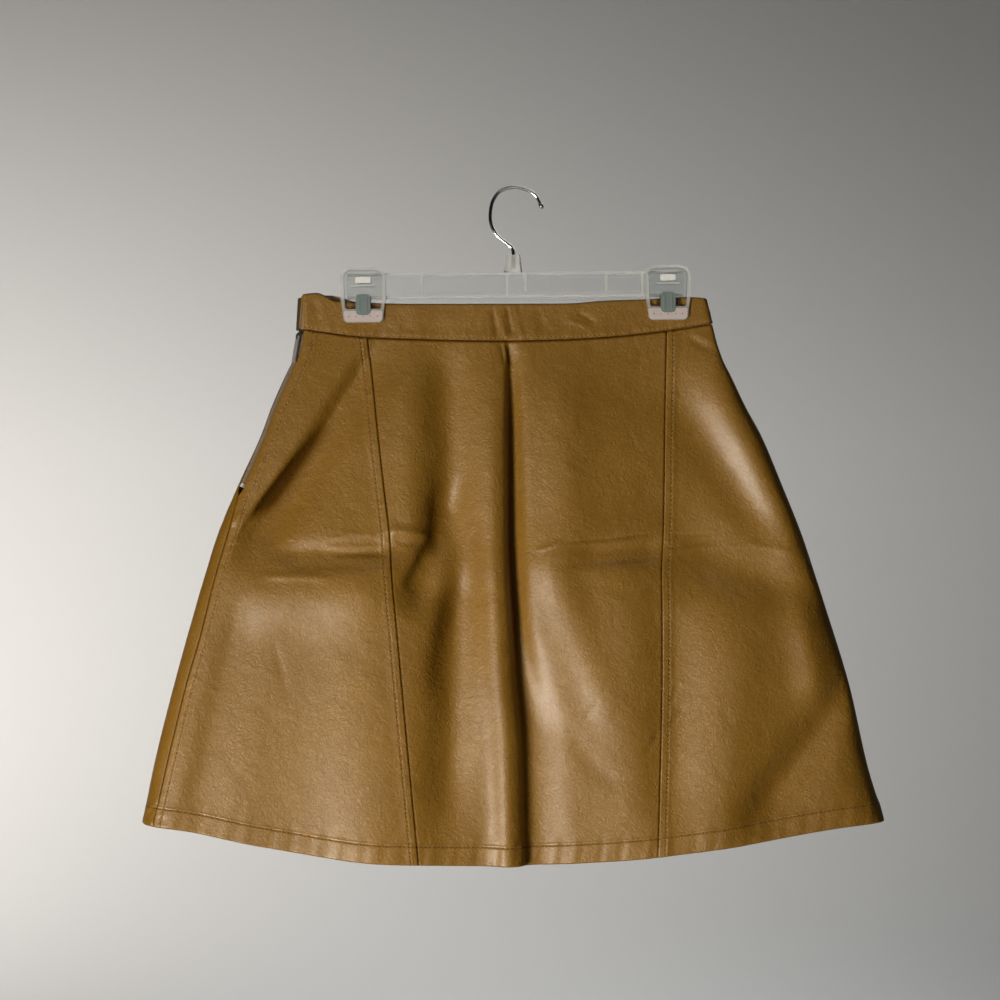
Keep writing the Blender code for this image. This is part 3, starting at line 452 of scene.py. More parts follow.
def band_drop(turn, level):
    """Drop at a level of the waistband: 0 at its top edge, 1 just above the waist seam."""
    across = -np.cos(turn)
    top = np.where(np.sin(turn) > 0.0, band_top_front_at(across), band_top_back_at(across))
    return top + (waist_at(across) - SEAM_GAP / 2.0 - top) * level


class Ring:
    """The tube at one level, measured along its length."""

    def __init__(self, drop_line, level):
        self.level = level
        self.turn = np.linspace(0.0, 2.0 * math.pi + RING_OVERRUN, RING_SAMPLES)
        self.drop = drop_line(self.turn, level)
        self.points = cloth_surface(self.turn, self.drop)
        steps = np.diff(self.points, axis=0)
        lengths = np.linalg.norm(steps, axis=1)
        headings = steps / lengths[:, None]
        bends = np.linalg.norm(np.diff(headings, axis=0), axis=1)
        self.arc = np.concatenate(([0.0], np.cumsum(lengths)))
        self.measure = self.arc + BEND_SPACING * np.concatenate(([0.0, 0.0], np.cumsum(bends)))

    def face_arc(self, seam_at):
        """Where a seam of the face crosses this ring."""
        face = self.turn <= math.pi
        past_seam = self.points[face, 0] - seam_at(self.drop[face])
        return np.interp(0.0, past_seam, self.arc[face])

    def back_arc(self, x):
        """Where the back crosses an upright line at x."""
        back = (self.turn >= math.pi) & (self.turn <= 2.0 * math.pi)
        return np.interp(-x, -self.points[back, 0], self.arc[back])

    def turn_at(self, arc):
        return np.interp(arc, self.arc, self.turn)

    def arc_at(self, turn):
        return np.interp(turn, self.turn, self.arc)

    def spaced_arcs(self, start, end, columns):
        """Arc lengths from one to another, closer together where the cloth bends."""
        first, last = np.interp((start, end), self.arc, self.measure)
        return np.interp(np.linspace(first, last, columns), self.measure, self.arc)

    def whole(self):
        """Arc length once round, back to the left edge."""
        return np.interp(2.0 * math.pi, self.turn, self.arc)


ZIP_END_LEVEL = 0.322
ZIP_CLOSED_LEVEL = 0.336
ZIP_HALF_OPENING = 0.0032


def zip_opening(ring):
    """Half the gap at the side seam: open for the zip, a plain seam gap below it."""
    closing = (ring.level - ZIP_END_LEVEL) / (ZIP_CLOSED_LEVEL - ZIP_END_LEVEL)
    return SEAM_GAP / 2.0 + ZIP_HALF_OPENING * (1.0 - np.clip(closing, 0.0, 1.0))


def right_seam_behind(ring):
    edge = np.interp(math.pi, ring.turn, ring.points[:, 0])
    return ring.back_arc(edge - RIGHT_SEAM_INSET)


def panel_span(side, ring):
    """Arc lengths of a panel's two long edges."""
    half_gap = SEAM_GAP / 2.0
    if side == "front_left":
        return ring.face_arc(side_seam_at) + zip_opening(ring), ring.face_arc(left_seam_at) - half_gap
    if side == "front_centre":
        return ring.face_arc(left_seam_at) + half_gap, ring.face_arc(right_seam_at) - half_gap
    if side == "front_right":
        return ring.face_arc(right_seam_at) + half_gap, right_seam_behind(ring) - half_gap
    return (right_seam_behind(ring) + half_gap,
            ring.whole() + ring.face_arc(side_seam_at) - zip_opening(ring))


def band_span(ring):
    """The band starts on the face beside the zip and ends behind the left edge."""
    return ring.face_arc(side_seam_at) + BAND_FACE_END, ring.whole() - BAND_BACK_END


# ---------------------------------------------------------------- fine relief
def ripple(along, period, phase=0.0):
    """Uneven waves, from -1 to 1, of about the period."""
    waves = ((1.00, 0.50, 0.0), (0.61, 0.30, 1.7), (1.83, 0.20, 4.1))
    return sum(share * np.sin(2.0 * math.pi * along * rate / period + shift + phase)
               for rate, share, shift in waves)


def zip_side_stitch(drop):
    """How far from the side seam's edge its stitches run: further beside the zip."""
    near, far = ZIP_TOPSTITCH_ENDS
    return TOPSTITCH + (ZIP_TOPSTITCH - TOPSTITCH) * (1.0 - smoothstep((drop - near) / (far - near)))


def rounded_down(distance, sink, reach):
    """An edge that turns down by its sink within its reach."""
    return -sink * np.clip(1.0 - distance / reach, 0.0, 1.0) ** 2


def plain_edge(distance):
    """A seam's lower side: the leather turns down into the groove."""
    return rounded_down(distance, PLAIN_SINK, PLAIN_ROUND)


def stitched_edge(distance, drop, stitch_at):
    """A seam's upper side: a rounded edge, a strip raised by what is turned under, and a stitch channel."""
    strip = STRIP_RISE * (1.0 - smoothstep((distance - stitch_at) / STRIP_FALL))
    edge = rounded_down(distance, EDGE_SINK, EDGE_ROUND)
    channel = -CHANNEL_DEPTH * bump(distance - stitch_at, CHANNEL_WIDTH)
    puckers = SEAM_RIPPLE * ripple(drop, SEAM_PERIOD) * bump(distance - stitch_at, SEAM_PUCKER_WIDTH)
    return strip + edge + channel + puckers


SIDE_EDGES = {
    "front_left": ("zip", "stitched"),
    "front_centre": ("plain", "plain"),
    "front_right": ("stitched", "plain"),
    "back": ("stitched", "plain"),
}


def edge_relief(kind, distance, drop):
    if kind == "plain":
        return plain_edge(distance)
    if kind == "zip":
        return stitched_edge(distance, drop, zip_side_stitch(drop))
    return stitched_edge(distance, drop, TOPSTITCH)


def hem_relief(from_hem, arc):
    """The hem's turned edge, its strip and its stitch channel, puckered by the stitching."""
    strip = HEM_STRIP_RISE * (1.0 - smoothstep((from_hem - HEM_STITCH) / HEM_STRIP_FALL))
    to_edge = np.clip(1.0 - from_hem / HEM_ROUND, 0.0, 1.0)
    turned = -HEM_ROUND * (1.0 - np.sqrt(np.clip(1.0 - to_edge ** 2, 0.0, 1.0)))
    channel = -CHANNEL_DEPTH * bump(from_hem - HEM_STITCH, CHANNEL_WIDTH)
    reach = np.where(from_hem < HEM_STITCH, 1.0, bump(from_hem - HEM_STITCH, HEM_PUCKER_REACH))
    full = smoothstep((HEM_STITCH - from_hem) / HEM_PUCKER_RISE + 0.9)
    puckers = HEM_RIPPLE * reach * (HEM_PUCKER_LEAST + (1.0 - HEM_PUCKER_LEAST) * full)
    return strip + turned + channel + puckers * ripple(arc, HEM_PERIOD)


def waist_relief(from_waist, arc):
    """The top edge is drawn in under the band, and slightly gathered."""
    edge = rounded_down(from_waist, WAIST_SINK, WAIST_ROUND)
    return edge + WAIST_RIPPLE * ripple(arc, WAIST_PERIOD, 0.6) * bump(from_waist, WAIST_PUCKER_REACH)


def crease_relief(turn, x, drop):
    across = -np.cos(turn)
    calm = 1.0 - np.abs(across) ** (2 * EDGE_FADE_POWER)
    on_face = np.sin(turn) > 0.0
    face = folds_rise(FACE_CREASES, x, drop)
    back = folds_rise(BACK_CREASES, x, drop)
    return calm * np.where(on_face, face, back)


def panel_relief(side, ring, turn, drop, points):
    arc = ring.arc_at(turn)
    start, end = panel_span(side, ring)
    first, last = SIDE_EDGES[side]
    top = skirt_drop(turn, 0.0)
    low = skirt_drop(turn, 1.0)
    return (edge_relief(first, arc - start, drop) + edge_relief(last, end - arc, drop)
            + hem_relief(low - drop, arc) + waist_relief(drop - top, arc)
            + crease_relief(turn, points[..., 0], drop))


def band_relief(ring, turn, drop, points):
    arc = ring.arc_at(turn)
    start, end = band_span(ring)
    top, low = band_drop(turn, 0.0), band_drop(turn, 1.0)
    relief = np.zeros_like(arc)
    for distance, sink in zip((drop - top, low - drop, arc - start, end - arc), BAND_EDGE_SINKS):
        relief += rounded_down(distance, sink, BAND_EDGE_ROUND)
    stitched = low - drop - BAND_STITCH
    relief -= BAND_CHANNEL_DEPTH * bump(stitched, CHANNEL_WIDTH)
    relief += BAND_RIPPLE * ripple(arc, BAND_PERIOD, 1.9) * bump(stitched, BAND_PUCKER_REACH)
    relief += BAND_WAVE * ripple(arc, BAND_WAVE_PERIOD, 0.4)
    on_face = np.sin(turn) > 0.0
    creases = folds_rise(BAND_CREASES, np.where(on_face, points[..., 0], -points[..., 0]), drop)
    return relief + creases * np.where(on_face, 1.0, BACK_CREASE_SHARE)


# ---------------------------------------------------------------- mesh helpers
def add_object(name, mesh, materials, smooth=True):
    if smooth:
        mesh.shade_smooth()
        mesh.set_sharp_from_angle(angle=math.radians(50.0))
    for material in materials:
        mesh.materials.append(material)
    item = bpy.data.objects.new(name, mesh)
    bpy.context.scene.collection.objects.link(item)
    return item


def shell(name, outer, inner, painted_light, materials, rims):
    """A closed shell between two grids of points: its inside is in the second material, and its rims (first
    side, low end, second side, top) in the material numbered in rims."""
    outer, inner, painted_light = np.array(outer), np.array(inner), np.array(painted_light)
    rows, columns = painted_light.shape
    points = np.concatenate((outer.reshape(-1, 3), inner.reshape(-1, 3)))
    index = np.arange(rows * columns).reshape(rows, columns)
    a, b, c, d = index[:-1, :-1], index[1:, :-1], index[1:, 1:], index[:-1, 1:]
    outside = np.stack((a, b, c, d), axis=-1).reshape(-1, 4)
    inside = outside[:, ::-1] + rows * columns
    border = np.concatenate((index[:, 0], index[-1, 1:], index[-2::-1, -1], index[0, -2:0:-1]))
    onward = np.roll(border, -1)
    rim = np.stack((onward, border, border + rows * columns, onward + rows * columns), axis=-1)
    faces = np.concatenate((outside, inside, rim))
    mesh = bpy.data.meshes.new(name)
    mesh.from_pydata(points, [], faces.tolist())
    counts = (len(outside), len(inside), rows - 1, columns - 1, rows - 1, columns - 1)
    mesh.polygons.foreach_set("material_index", np.repeat((0, 1, *rims), counts))
    # the per-point attribute holds painted light: painted shade in grooves, creases and folds, and painted
    # highlight on what stands out
    attribute = mesh.attributes.new("painted_light", "FLOAT", "POINT")
    values = np.concatenate((painted_light.ravel(), np.zeros(rows * columns)))
    attribute.data.foreach_set("value", values.astype(np.float32))
    return add_object(name, mesh, materials)


def panel_levels():
    """Rows of a panel: close together at its edges and over the storage fold."""
    spans = ((0.0, 0.018, 12), (0.018, 0.36, 68), (0.36, 0.50, 54), (0.50, 0.95, 90), (0.95, 1.0, 36))
    parts = [np.linspace(low, high, count, endpoint=False) for low, high, count in spans]
    return np.concatenate(parts + [[1.0]])


PANEL_RINGS = [Ring(skirt_drop, level) for level in panel_levels()]


def panel_arcs(side, ring):
    start, end = panel_span(side, ring)
    marks = np.linspace(0.0, 1.0, FINE_COLUMNS) ** FINE_CROWDING * FINE_ZONE
    middle = ring.spaced_arcs(start + FINE_ZONE, end - FINE_ZONE, MIDDLE_COLUMNS[side])
    return np.concatenate((start + marks[:-1], middle, (end - marks[:-1])[::-1]))


def sharp_only(folds):
    return [fold for fold in folds if fold.width <= SHARP_CREASE]


def fold_painted_light(x, drop):
    """Painted shade in the sharp creases' troughs, down the middle's crevice and along the folds, and painted
    highlight on the sharp creases' ridges.
    """
    creases = folds_rise(sharp_only(FACE_CREASES), x, drop) / CREASE_PAINTED_LIGHT_RISE
    crevice = centre_depth_at(drop) * bump(x - centre_x_at(drop), CREVICE_PAINTED_SHADE_WIDTH) / CREVICE_PAINTED_SHADE_DEPTH
    return creases - crevice + folds_rise(FOLD_PAINTED_SHADE, x, drop)


def groove_painted_light(distance, stitch_at=None):
    """Painted shade in a seam's groove and in its stitch channel, and a painted highlight on the raised strip
    between them.
    """
    painted_light = -GROOVE_PAINTED_SHADE * bump(distance, PAINTED_SHADE_WIDTH)
    if stitch_at is None:
        return painted_light - PLAIN_PAINTED_SHADE * bump(distance, PLAIN_PAINTED_SHADE_WIDTH)
    strip_highlight = PAINTED_STRIP_HIGHLIGHT * bump(distance - PAINTED_STRIP_HIGHLIGHT_AT, PAINTED_STRIP_HIGHLIGHT_WIDTH)
    return painted_light - CHANNEL_PAINTED_SHADE * bump(distance - stitch_at, PAINTED_SHADE_WIDTH) + strip_highlight


def panel_painted_light(side, ring, turn, drop, points):
    """Painted shade in grooves, creases and folds, and painted highlight on what stands out."""
    arc = ring.arc_at(turn)
    start, end = panel_span(side, ring)
    low = skirt_drop(turn, 1.0)
    top = skirt_drop(turn, 0.0)
    # painted shade along the hem's edge and stitch channel, and under the band's edge at the top
    painted_light = groove_painted_light(low - drop + HEM_PAINTED_SHADE_SHIFT, HEM_STITCH) - bump(drop - top, PLAIN_PAINTED_SHADE_WIDTH)
    for kind, distance in zip(SIDE_EDGES[side], (arc - start, end - arc)):
        stitch_at = None if kind == "plain" else zip_side_stitch(drop) if kind == "zip" else TOPSTITCH
        painted_light = painted_light + groove_painted_light(distance, stitch_at)
    on_face = np.sin(turn) > 0.0
    x = points[..., 0]
    back_painted_light = folds_rise(sharp_only(BACK_CREASES), x, drop) / CREASE_PAINTED_LIGHT_RISE
    return np.clip(painted_light + np.where(on_face, fold_painted_light(x, drop), back_painted_light), -1.0, 1.0)


def band_painted_light(ring, turn, drop, points):
    # painted shade along the band's low edge and in its stitch channel, with painted shade and highlight in
    # its sharp creases
    low = band_drop(turn, 1.0)
    painted_light = (-BAND_LOW_PAINTED_SHADE * bump(low - drop, BAND_PAINTED_SHADE_WIDTH)
            - BAND_STITCH_PAINTED_SHADE * bump(low - drop - BAND_STITCH, PAINTED_SHADE_WIDTH))
    creases = folds_rise(sharp_only(BAND_CREASES), points[..., 0], drop)
    return np.clip(painted_light + creases / CREASE_PAINTED_LIGHT_RISE, -1.0, 1.0)


def make_panel(side, materials):
    outer, inner, painted_light = [], [], []
    for ring in PANEL_RINGS:
        turn = ring.turn_at(panel_arcs(side, ring))
        drop = skirt_drop(turn, ring.level)
        points = cloth_surface(turn, drop)
        normals = cloth_normal(turn, drop)
        relief = panel_relief(side, ring, turn, drop, points)
        past_turn_up = (skirt_drop(turn, 1.0) - drop - HEM_TURN_UP) / HEM_TURN_UP_FALL
        turn_up = HEM_TURN_UP_THICK * (1.0 - smoothstep(past_turn_up))
        crease = crease_relief(turn, points[..., 0], drop)
        outer.append(points + normals * relief[:, None])
        inner.append(points + normals * (crease - WALL - turn_up)[:, None])
        painted_light.append(panel_painted_light(side, ring, turn, drop, points))
    return shell(f"{side}_leather", outer, inner, painted_light, materials, (2, 0, 2, 2))


def make_band(materials):
    outer, inner, painted_light = [], [], []
    for level in np.linspace(0.0, 1.0, BAND_ROWS):
        ring = Ring(band_drop, level)
        start, end = band_span(ring)
        turn = ring.turn_at(np.linspace(start, end, BAND_COLUMNS))
        drop = band_drop(turn, level)
        points = cloth_surface(turn, drop)
        normals = cloth_normal(turn, drop)
        relief = band_relief(ring, turn, drop, points)
        outer.append(points + normals * (BAND_PROUD + relief)[:, None])
        inner.append(points + normals * (BAND_PROUD - BAND_WALL))
        painted_light.append(band_painted_light(ring, turn, drop, points))
    return shell("waistband_leather", outer, inner, painted_light, materials, (0, 2, 0, 0))


# ---------------------------------------------------------------- materials
class Nodes:
    """Short ways to build a material's nodes."""

    def __init__(self, name):
        self.material = bpy.data.materials.new(name)
        self.material.use_nodes = True
        self.tree = self.material.node_tree
        self.shader = self.tree.nodes["Principled BSDF"]
        self.place = self.add("ShaderNodeTexCoord").outputs["Object"]

    def add(self, kind, **settings):
        node = self.tree.nodes.new(kind)
        for key, value in settings.items():
            setattr(node, key, value)
        return node

    def put(self, socket, value):
        if isinstance(value, bpy.types.NodeSocket):
            self.tree.links.new(value, socket)
        else:
            socket.default_value = value

    def noise(self, scale, detail=2.0, roughness=0.5, distortion=0.0):
        node = self.add("ShaderNodeTexNoise")
        self.put(node.inputs["Vector"], self.place)
        keys = ("Scale", "Detail", "Roughness", "Distortion")
        for key, value in zip(keys, (scale, detail, roughness, distortion)):
            node.inputs[key].default_value = value
        return node.outputs["Fac"]

    def cells(self, scale, place=None, feature="F1", smoothness=None):
        node = self.add("ShaderNodeTexVoronoi", feature=feature)
        self.put(node.inputs["Vector"], place or self.place)
        node.inputs["Scale"].default_value = scale
        if smoothness is not None:
            node.inputs["Smoothness"].default_value = smoothness
        return node.outputs["Distance"]

    def math(self, operation, a, b=0.0, clamp=False):
        node = self.add("ShaderNodeMath", operation=operation, use_clamp=clamp)
        self.put(node.inputs[0], a)
        self.put(node.inputs[1], b)
        return node.outputs[0]

    def map(self, value, from_low, from_high, to_low, to_high):
        node = self.add("ShaderNodeMapRange")
        for key, number in zip(("Value", "From Min", "From Max", "To Min", "To Max"),
                               (value, from_low, from_high, to_low, to_high)):
            self.put(node.inputs[key], number)
        return node.outputs[0]

    def mix(self, share, first, second):
        node = self.add("ShaderNodeMix", data_type="RGBA")
        self.put(node.inputs["Factor"], share)
        for socket, colour in ((node.inputs["A"], first), (node.inputs["B"], second)):
            if not isinstance(colour, bpy.types.NodeSocket):
                colour = (*colour, 1.0)
            self.put(socket, colour)
        return node.outputs["Result"]

    def warped(self, scale, amount):
        """The place, pushed about by noise."""
        node = self.add("ShaderNodeTexNoise")
        self.put(node.inputs["Vector"], self.place)
        node.inputs["Scale"].default_value = scale
        scaled = self.add("ShaderNodeVectorMath", operation="SCALE")
        self.put(scaled.inputs[0], node.outputs["Color"])
        scaled.inputs["Scale"].default_value = amount
        total = self.add("ShaderNodeVectorMath", operation="ADD")
        self.put(total.inputs[0], self.place)
        self.put(total.inputs[1], scaled.outputs[0])
        return total.outputs[0]

    def bump(self, height, distance, strength=1.0, normal=None):
        node = self.add("ShaderNodeBump")
        self.put(node.inputs["Height"], height)
        node.inputs["Distance"].default_value = distance
        node.inputs["Strength"].default_value = strength
        if normal is not None:
            self.put(node.inputs["Normal"], normal)
        return node.outputs["Normal"]

    def finish(self, **sockets):
        for name, value in sockets.items():
            name = name.replace("_", " ").title().replace("Ior", "IOR")
            if isinstance(value, tuple):
                value = (*value, 1.0)
            self.put(self.shader.inputs[name], value)
        return self.material


TAN_DEEP = (0.106, 0.046, 0.0020)
TAN = (0.214, 0.102, 0.0060)
TAN_LIGHT = (0.312, 0.160, 0.0170)
# the colour of the painted shade in grooves, creases and folds
TAN_PAINTED_SHADE = (0.052, 0.020, 0.0030)


def leather_material():
    m = Nodes("tan_leather")
    painted_light = m.add("ShaderNodeAttribute", attribute_name="painted_light").outputs["Fac"]
    clouds = m.noise(11.0, 4.0, 0.55)
    patches = m.noise(70.0, 5.0, 0.6)
    tone = m.math("ADD", m.map(clouds, 0.3, 0.7, 0.0, 0.7), m.map(patches, 0.3, 0.7, -0.12, 0.34))
    colour = m.mix(m.math("MULTIPLY", tone, 0.55), TAN, TAN_LIGHT)
    pebble_place = m.warped(260.0, 0.0014)
    pebbles = m.cells(520.0, pebble_place, "SMOOTH_F1", 0.35)
    cracks = m.map(m.cells(230.0, m.warped(150.0, 0.0050), "DISTANCE_TO_EDGE"), 0.0, 0.16, 1.0, 0.0)
    cracks = m.math("MULTIPLY", cracks, m.map(patches, 0.38, 0.62, 0.15, 1.0))
    pores = m.noise(1900.0, 2.0, 0.5)
    wrinkles = m.math("ABSOLUTE", m.math("SUBTRACT", m.noise(120.0, 5.0, 0.62, 0.9), 0.5))
    colour = m.mix(m.map(pebbles, 0.25, 0.75, 0.0, 0.24), colour, TAN_DEEP)
    colour = m.mix(m.math("MULTIPLY", cracks, 0.18), colour, TAN_DEEP)
    # painted shade darkens grooves, creases and folds, and painted highlight lightens ridges and raised
    # strips
    colour = m.mix(m.map(painted_light, -0.15, -1.0, 0.0, 0.85), colour, TAN_PAINTED_SHADE)
    colour = m.mix(m.map(painted_light, 0.30, 1.0, 0.0, 0.22), colour, TAN_LIGHT)
    rough = m.math("ADD", m.map(patches, 0.3, 0.7, 0.38, 0.54), m.map(pebbles, 0.2, 0.8, 0.0, 0.10))
    lumps = m.noise(38.0, 3.0, 0.55, 0.6)
    normal = m.bump(lumps, 0.0050, 0.30)
    normal = m.bump(wrinkles, 0.0030, 0.38, normal)
    normal = m.bump(cracks, -0.00026, 0.60, normal)
    normal = m.bump(pebbles, -0.00030, 0.36, normal)
    normal = m.bump(pores, 0.00008, 0.5, normal)
    # the painted shade also takes the gloss out of the darkened places
    return m.finish(base_color=colour, roughness=rough, normal=normal,
                    specular_ior_level=m.map(painted_light, -0.15, -0.8, 0.5, 0.04), specular_tint=(1.0, 0.84, 0.62),
                    coat_weight=m.map(painted_light, -0.10, -0.6, 0.56, 0.0), coat_roughness=0.36)


# a darkened copy of the tan leather: painted shade
def band_end_painted_shade():
    m = Nodes("band_end_painted_shade")
    colour = m.mix(m.noise(300.0, 4.0, 0.6), (0.022, 0.014, 0.005), (0.055, 0.032, 0.010))
    return m.finish(base_color=colour, roughness=0.55, normal=m.bump(m.noise(500.0, 3.0), 0.0004, 0.6))


def suede_material():
    m = Nodes("leather_inside")
    colour = m.mix(m.noise(900.0, 4.0, 0.7), (0.30, 0.19, 0.095), (0.44, 0.30, 0.17))
    normal = m.bump(m.noise(2400.0, 3.0, 0.7), 0.0004, 0.8)
    return m.finish(base_color=colour, roughness=0.92, normal=normal, sheen_weight=0.3)


# ---------------------------------------------------------------- stitches
STITCH_PITCH = 0.0038
STITCH_LENGTH = 0.0028
STITCH_RADIUS = 0.00036
STITCH_SIDES = 6
STITCH_PROFILE = ((-1.0, 0.35), (-0.72, 0.85), (0.0, 1.0), (0.72, 0.85), (1.0, 0.35))
HOLE_RADIUS = 0.00072
HEM_STITCH_LEVEL = 0.964
BAND_STITCH_LEVEL = 0.92
STITCH_LIFT = 0.00012
STITCH_ENDS_DIP = 2.2
HOLE_LIFT = 0.00006
HOLE_STRETCH = 1.1
SEAM_LINE_TOP = 0.0008
SEAM_LINE_LOW = 0.0022
HEM_LINE_INSET = 0.0008
BAND_LINE_INSET = 0.002


def evenly_along(points, normals, pitch, first=0.5):
    """Places a pitch apart on a line over the cloth: point, way along, way out."""
    lengths = np.linalg.norm(np.diff(points, axis=0), axis=1)
    arc = np.concatenate(([0.0], np.cumsum(lengths)))
    marks = np.arange(first * pitch, arc[-1] - 0.5 * pitch, pitch)

    def read(values, where):
        return np.stack([np.interp(where, arc, values[:, k]) for k in range(3)], axis=-1)

    step = 0.3 * pitch
    along = read(points, marks + step) - read(points, marks - step)
    along /= np.linalg.norm(along, axis=1, keepdims=True)
    out = read(normals, marks)
    out -= along * np.sum(out * along, axis=1, keepdims=True)
    out /= np.linalg.norm(out, axis=1, keepdims=True)
    return read(points, marks), along, out


def mesh_of(name, points, faces, materials, smooth=True):
    mesh = bpy.data.meshes.new(name)
    mesh.from_pydata(points, [], faces)
    return add_object(name, mesh, materials, smooth)


def circle(sides):
    """Cosine and sine of each corner's angle."""
    angles = [2.0 * math.pi * k / sides for k in range(sides)]
    return [(math.cos(angle), math.sin(angle)) for angle in angles]


def add_tube(verts, faces, rings):
    """Adds a closed tube through rings of points."""
    start, sides = len(verts), len(rings[0])
    for ring in rings:
        verts.extend(ring)
    last = len(verts) - sides
    for row in range(start, last, sides):
        for k in range(sides):
            n = (k + 1) % sides
            faces.append((row + k, row + sides + k, row + sides + n, row + n))
    faces.append([start + k for k in range(sides)])
    faces.append([last + k for k in reversed(range(sides))])


def sewn(name, verts, faces, material, smooth):
    piece = mesh_of(name, verts, faces, [material], smooth)
    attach(piece, "skirt")


def stitch_row(name, points, normals, material):
    """One row of stitches: each is a short thread that dips into the leather at its ends."""
    centre, along, out = evenly_along(points, normals, STITCH_PITCH)
    verts, faces = [], []
    rng = np.random.default_rng(len(name) * 101 + len(centre))
    for place, way, side, up in zip(centre, along, np.cross(along, out), out):
        skew = rng.uniform(-0.10, 0.10)
        half = STITCH_LENGTH / 2.0 * rng.uniform(0.92, 1.05)
        rings = []
        for station, size in STITCH_PROFILE:
            dip = STITCH_LIFT * (1.0 - STITCH_ENDS_DIP * station**2)
            middle = place + (way + side * skew) * half * station + up * dip
            rings.append([middle + STITCH_RADIUS * size * (side * c + up * s)
                          for c, s in circle(STITCH_SIDES)])
        add_tube(verts, faces, rings)
    sewn(name, verts, faces, material, True)


def needle_hole_shades(name, points, normals, material):
    """Small dark discs between the stitches: painted shade for the needle holes."""
    centre, along, out = evenly_along(points, normals, STITCH_PITCH, first=1.0)
    verts, faces = [], []
    for place, way, side, up in zip(centre, along, np.cross(along, out), out):
        rings = [[place + up * height + HOLE_RADIUS * (way * HOLE_STRETCH * c + side * s)
                  for c, s in circle(STITCH_SIDES)] for height in (HOLE_LIFT, -3.0 * HOLE_LIFT)]
        add_tube(verts, faces, rings)
    sewn(name, verts, faces, material, False)


def on_panel(side, ring, turn, drop):
    """Points on a panel's leather, with its relief, and the way out of it."""
    surface = cloth_surface(turn, drop)
    normal = cloth_normal(turn, drop)
    relief = panel_relief(side, ring, turn, drop, surface)
    return surface + normal * relief[:, None], normal


def seam_line(side, at_start, distance):
    """A line down a panel, a distance in from one of its long edges."""
    points, normals = [], []
    for ring in PANEL_RINGS:
        start, end = panel_span(side, ring)
        where = np.array([start if at_start else end])
        turn = ring.turn_at(where)
        inset = distance(skirt_drop(turn, ring.level))
        turn = ring.turn_at(where + inset if at_start else where - inset)
        drop = skirt_drop(turn, ring.level)
        from_top = drop[0] - skirt_drop(turn, 0.0)[0]
        from_hem = skirt_drop(turn, 1.0)[0] - drop[0]
        if from_top > SEAM_LINE_TOP and from_hem >= SEAM_LINE_LOW:
            point, normal = on_panel(side, ring, turn, drop)
            points.append(point[0])
            normals.append(normal[0])
    return np.array(points), np.array(normals)


def hem_line(side):
    ring = Ring(skirt_drop, HEM_STITCH_LEVEL)
    start, end = panel_span(side, ring)
    turn = ring.turn_at(np.linspace(start + HEM_LINE_INSET, end - HEM_LINE_INSET, 500))
    return on_panel(side, ring, turn, skirt_drop(turn, 1.0) - HEM_STITCH)


def band_line():
    ring = Ring(band_drop, BAND_STITCH_LEVEL)
    start, end = band_span(ring)
    turn = ring.turn_at(np.linspace(start + BAND_LINE_INSET, end - BAND_LINE_INSET, 1200))
    drop = band_drop(turn, 1.0) - BAND_STITCH
    surface = cloth_surface(turn, drop)
    normal = cloth_normal(turn, drop)
    relief = band_relief(ring, turn, drop, surface)
    return surface + normal * (BAND_PROUD + relief)[:, None], normal


def edge_material():
    """The dull edges in a seam's groove."""
    m = Nodes("leather_edge")
    return m.finish(base_color=(0.060, 0.024, 0.006), roughness=0.9, specular_ior_level=0.1)


def thread_material(name, colour):
    m = Nodes(name)
    return m.finish(base_color=colour, roughness=0.65)


def make_stitches():
    thread = thread_material("tan_thread", (0.34, 0.19, 0.065))
    hem_thread = thread_material("hem_thread", (0.200, 0.100, 0.028))
    pale = thread_material("pale_thread", (0.36, 0.20, 0.062))
    # the needle holes' dark is painted shade
    dark = thread_material("needle_hole_shade", (0.030, 0.013, 0.004))

    def plain(drop):
        return TOPSTITCH

    rows = (("left_seam", "front_left", False, plain), ("right_seam", "front_right", True, plain),
            ("side_seam", "front_left", True, zip_side_stitch), ("right_side_seam", "back", True, plain))
    for name, side, at_start, distance in rows:
        line = seam_line(side, at_start, distance)
        stitch_row(f"{name}_stitches", *line, thread)
        needle_hole_shades(f"{name}_holes", *line, dark)
    for side in SIDE_EDGES:
        line = hem_line(side)
        stitch_row(f"{side}_hem_stitches", *line, hem_thread)
        needle_hole_shades(f"{side}_hem_holes", *line, dark)
    stitch_row("waistband_stitches", *band_line(), pale)


# ---------------------------------------------------------------- zip and hanger
CHAIN_TOP_DROP = 0.1270
STOP_DROP = 0.2595
STOP_LENGTH = 0.0036
TAPE_HALF_WIDTH = 0.0029
TAPE_TOP = -0.0004
TAPE_THICK = 0.0005
TOOTH_PITCH = 0.0008
TOOTH_REACH = 0.0021
TOOTH_OVERLAP = 0.0006
TOOTH_LENGTH = 0.00066
TOOTH_TOP = 0.0007
TOOTH_HALF_HEIGHT = 0.0006
TOOTH_TAPER = 0.72
WIRE_RADIUS = 0.0015
BEAD_RADIUS = 0.0024
WIRE_STEP = 0.0010
WIRE_SIDES = 24
BEAD_STEPS = 12
BEAD_END_ANGLE = math.radians(176.0)
ROUTE_SAMPLES = 40
HOOK_ROUTE = (
    (-0.0008, -0.0690), (-0.0008, -0.0620), (-0.0008, -0.0550), (-0.0030, -0.0505), (-0.0080, -0.0465),
    (-0.0155, -0.0400), (-0.0200, -0.0310), (-0.0208, -0.0215), (-0.0185, -0.0105), (-0.0120, -0.0020),
    (0.0000, 0.0015), (0.0110, -0.0008), (0.0190, -0.0060), (0.0228, -0.0130),
)
BAR_CENTRE_X = 0.0010
BAR_TOP_DROP = 0.0732
BAR_HEIGHT = 0.0222
BAR_DEPTH = 0.0080
WEB_DEPTH = 0.0024
